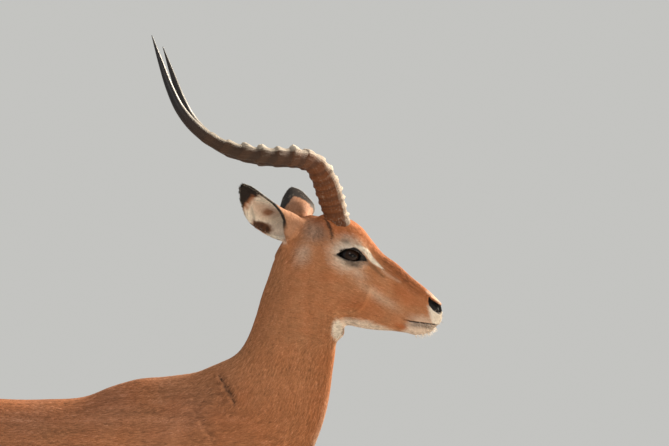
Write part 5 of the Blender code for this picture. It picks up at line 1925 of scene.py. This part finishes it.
class Grower:
    """Grows long hairs on the skin, with one generator for all their random draws."""

    def __init__(self, context):
        self.context = context
        self.random = np.random.default_rng(SEED + 1)
        self.skin = Skin(bpy.data.objects["skin"])

    def roots(self, density, *more):
        return chosen(self.skin, lambda p: density(p, *more), self.random)

    def grow(self, name, roots, start, end, length, width, marks=None):
        """Hairs of one kind. Their marks come from the skin's where none are given."""
        (root, normal, uv), random = roots, self.random
        count = len(root)
        turned = random.normal(0, 0.10, (2, count, 3))
        start, end = unit(start) + turned[0], unit(end) + turned[1]
        marks = markings(root) if marks is None else np.broadcast_to(np.array(marks, float), (count, 4))
        length = length * random.uniform(0.7, 1.15, count)
        width = width * random.uniform(0.8, 1.2, count)
        tone = random.normal(0, 0.5, count)
        made = hair_object(name, root - normal * 0.6, start, end, length, width, uv, marks, tone)
        finished(made, coat_look(self.context))


def face_hair(grower, sizes):
    """Lashes that fan out along the upper lid, and bristles on chin and lips."""
    roots = grower.roots(lash_density)
    side = np.sign(roots[0][:, 1])[:, None] * np.array([0, 1.0, 0])
    fan = HEAD_AXIS * (eye_axes(*on_head(roots[0]))[0] / 22)[:, None]
    start, end = side + fan * 0.5 - 0.10 * HEAD_UP, side * 0.55 + fan + 0.10 * HEAD_UP
    grower.grow("lashes", roots, start, end, sizes.lash_length / MM, 0.42, DARK_HAIR)

    roots = grower.roots(chin_density)
    start = roots[1] * 0.7 + HEAD_AXIS * 0.5
    end = start + DOWN * 0.8
    grower.grow("chin_bristles", roots, start, end, sizes.bristle_length / MM, 0.5, WHITE_HAIR)

    roots = grower.roots(lip_density)
    start = roots[1] + HEAD_AXIS * 0.3
    end = start + HEAD_AXIS * 0.4 - HEAD_UP * 0.5
    grower.grow("lip_bristles", roots, start, end, 8.0, 0.34, LIP_HAIR)


def ear_hair(grower):
    """A fringe on each ear's rim, and longer hair that lies across its hollow."""
    kinds = (rim_density, cup_density)
    chosen_roots = [[grower.roots(density, cup) for density in kinds] for cup in EAR_CUPS.values()]
    for (word, cup), (roots, _) in zip(EAR_CUPS.items(), chosen_roots, strict=True):
        start = roots[1] * 0.7 + cup.along * 0.8
        share, angle = cup.place(roots[0])[:2]
        light = ((share > 0.56) | (angle > 0) | (cup.edge < 0.5))[:, None]
        marks = np.where(light, RIM_HAIR, markings(roots[0]))
        grower.grow(f"ear_rim_{word}", roots, start, start + cup.along * 1.2, 3.2, 0.34, marks)
    for (word, cup), (_, roots) in zip(EAR_CUPS.items(), chosen_roots, strict=True):
        inward = -cup.around(roots[0]) * np.sign(cup.place(roots[0])[1])[:, None]
        start = roots[1] * 0.30 + inward * 0.5 + cup.along * 0.8
        grower.grow(f"ear_inside_{word}", roots, start, cup.along + inward * 0.7, 13.0, 0.42, INNER_HAIR)


def tail_and_leg_hair(grower):
    """The tail's brush, longer towards its end, and the tufts over the hind legs' glands."""
    roots = grower.roots(tail_density)
    low = rise(-roots[0][:, 2], -760, -560)
    end = np.array([-0.05, 0, -1.0]) + roots[1] * 0.10
    grower.grow("tail_brush", roots, roots[1] * 0.55 + DOWN, end, 46.0 + 16 * low, 1.5)

    roots = grower.roots(gland_density)
    start, end = roots[1] * 0.5 + DOWN, np.array([-0.1, 0, -1.0])
    grower.grow("leg_tufts", roots, start, end, 17.0, 0.9, GLAND_HAIR)


class IMPALA_OT_long_hair(bpy.types.Operator):
    """Adds the lashes, the chin's bristles, the ears' fringes, the tail's brush and the hind legs' tufts"""

    bl_idname = "impala.long_hair"
    bl_label = "Long hair"

    def execute(self, context):
        grower = Grower(context)
        face_hair(grower, context.scene.impala_sizes)
        ear_hair(grower)
        tail_and_leg_hair(grower)
        return {"FINISHED"}


class IMPALA_OT_eyes(bpy.types.Operator):
    """Makes the two eyeballs"""

    bl_idname = "impala.eyes"
    bl_label = "Eyes"

    def execute(self, context):
        material = eye_material(context.scene.impala_colours)
        for word, side in SIDES:
            made = finished(eyeball(f"eyeball_{word}", side), material)
            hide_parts(f"eye_{word}")
        return {"FINISHED"}


class IMPALA_OT_horns(bpy.types.Operator):
    """Makes the two ringed horns"""

    bl_idname = "impala.horns"
    bl_label = "Horns"

    def execute(self, context):
        material = horn_material(context.scene.impala_colours)
        height = context.scene.impala_sizes.ring_height / MM
        for word, side in SIDES:
            made = finished(horn(f"ringed_horn_{word}", side, height), material)
            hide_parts(f"horn_{word}")
        return {"FINISHED"}


class IMPALA_OT_hooves(bpy.types.Operator):
    """Makes the eight claws of the cloven hooves"""

    bl_idname = "impala.hooves"
    bl_label = "Hooves"

    def execute(self, context):
        material = hoof_material(context.scene.impala_colours)
        for word, side in SIDES:
            feet = (
                ("front", FORE_HOOF_X + FORE_STEP[side], FORE_HOOF_SIDE),
                ("hind", HIND_HOOF_X + HIND_STEP[side], HIND_HOOF_SIDE),
            )
            for (foot, x, foot_side), (which, away) in product(feet, (("inner", -1), ("outer", 1))):
                place = (x, side * (foot_side + away * CLAW_OFFSET), 0)
                name = f"{foot}_{word}_{which}"
                made = finished(claw(f"claw_{name}", place, -away * side), material)
                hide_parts(f"hoof_{name}")
        return {"FINISHED"}


# ---------------- the stage

CAMERA_PLACE = (0.3966, -6.5, 1.1697)
CAMERA_LENS = 201.0
CAMERA_SENSOR = 36.0
BACKDROP, BACKDROP_STRENGTH = (0.86, 0.86, 0.83, 1), 0.64
FLOOR_REACH, FLOOR_LINES = 12, 7
# Place, aim, size, power and colour.
LIGHTS = {
    "sun_ahead": ((3.0, 2.2, 3.3), (0.25, 0.0, 1.1), 1.0, 500, (1.0, 0.89, 0.72)),
    "soft_side": ((-0.6, -4.6, 3.6), (0.1, 0.0, 0.9), 1.5, 52, (1.0, 0.95, 0.90)),
    "warm_low": ((2.2, -3.0, 0.35), (0.35, 0.0, 1.05), 1.6, 30, (1.0, 0.84, 0.62)),
}


def aimed(made, place, target):
    made.location = place
    made.rotation_euler = (Vector(target) - Vector(place)).to_track_quat("-Z", "Y").to_euler()
    bpy.context.scene.collection.objects.link(made)


class IMPALA_OT_stage(bpy.types.Operator):
    """Sets the floor, the lights, the background and the camera"""

    bl_idname = "impala.stage"
    bl_label = "Stage"

    def execute(self, context):
        scene = context.scene
        edge = np.linspace(-FLOOR_REACH, FLOOR_REACH, FLOOR_LINES)
        x, y = np.meshgrid(edge, edge, indexing="ij")
        points = np.stack([x, y, np.zeros_like(x)], axis=-1).reshape(-1, 3)
        floor = new_mesh("floor", points, grid_faces(FLOOR_LINES, FLOOR_LINES, closed=False)[:, ::-1])
        floor.data.materials.append(floor_material(scene.impala_colours))
        for name, (place, target, size, power, colour) in LIGHTS.items():
            lamp = bpy.data.lights.new(name, "AREA")
            lamp.shape = "DISK"
            lamp.size, lamp.energy, lamp.color = size, power, colour
            aimed(bpy.data.objects.new(name, lamp), place, target)
        world = bpy.data.worlds.new("pale_studio")
        world.use_nodes = True
        backdrop = world.node_tree.nodes["Background"]
        backdrop.inputs["Color"].default_value = BACKDROP
        backdrop.inputs["Strength"].default_value = BACKDROP_STRENGTH
        scene.world = world
        scene.view_settings.view_transform = "Standard"
        camera = bpy.data.cameras.new("camera")
        camera.lens, camera.sensor_width = CAMERA_LENS, CAMERA_SENSOR
        camera.clip_end = 100
        scene.camera = bpy.data.objects.new("camera", camera)
        aimed(scene.camera, CAMERA_PLACE, (CAMERA_PLACE[0], 0.0, CAMERA_PLACE[2]))
        return {"FINISHED"}


class IMPALA_PT_panel(bpy.types.Panel):
    """Lists the impala's pieces and settings"""

    bl_label = "Impala"
    bl_idname = "IMPALA_PT_panel"
    bl_space_type = "VIEW_3D"
    bl_region_type = "UI"
    bl_category = "Impala"

    def draw(self, context):
        for kind in PIECES:
            self.layout.operator(kind.bl_idname)
        for group in (context.scene.impala_sizes, context.scene.impala_colours):
            box = self.layout.box()
            for name in group.__annotations__:
                box.prop(group, name)


PIECES = (IMPALA_OT_stage, IMPALA_OT_skin, IMPALA_OT_coat, IMPALA_OT_long_hair)
PIECES += (IMPALA_OT_eyes, IMPALA_OT_horns, IMPALA_OT_hooves)
CLASSES = (ImpalaSizes, ImpalaColours, *PIECES, IMPALA_PT_panel)


def register():
    for kind in CLASSES:
        bpy.utils.register_class(kind)
    bpy.types.Scene.impala_sizes = bpy.props.PointerProperty(type=ImpalaSizes)
    bpy.types.Scene.impala_colours = bpy.props.PointerProperty(type=ImpalaColours)


def unregister():
    del bpy.types.Scene.impala_colours
    del bpy.types.Scene.impala_sizes
    for kind in reversed(CLASSES):
        bpy.utils.unregister_class(kind)


def main():
    register()
    for kind in PIECES:
        group, name = kind.bl_idname.split(".")
        getattr(getattr(bpy.ops, group), name)()


if __name__ == "__main__":
    main()
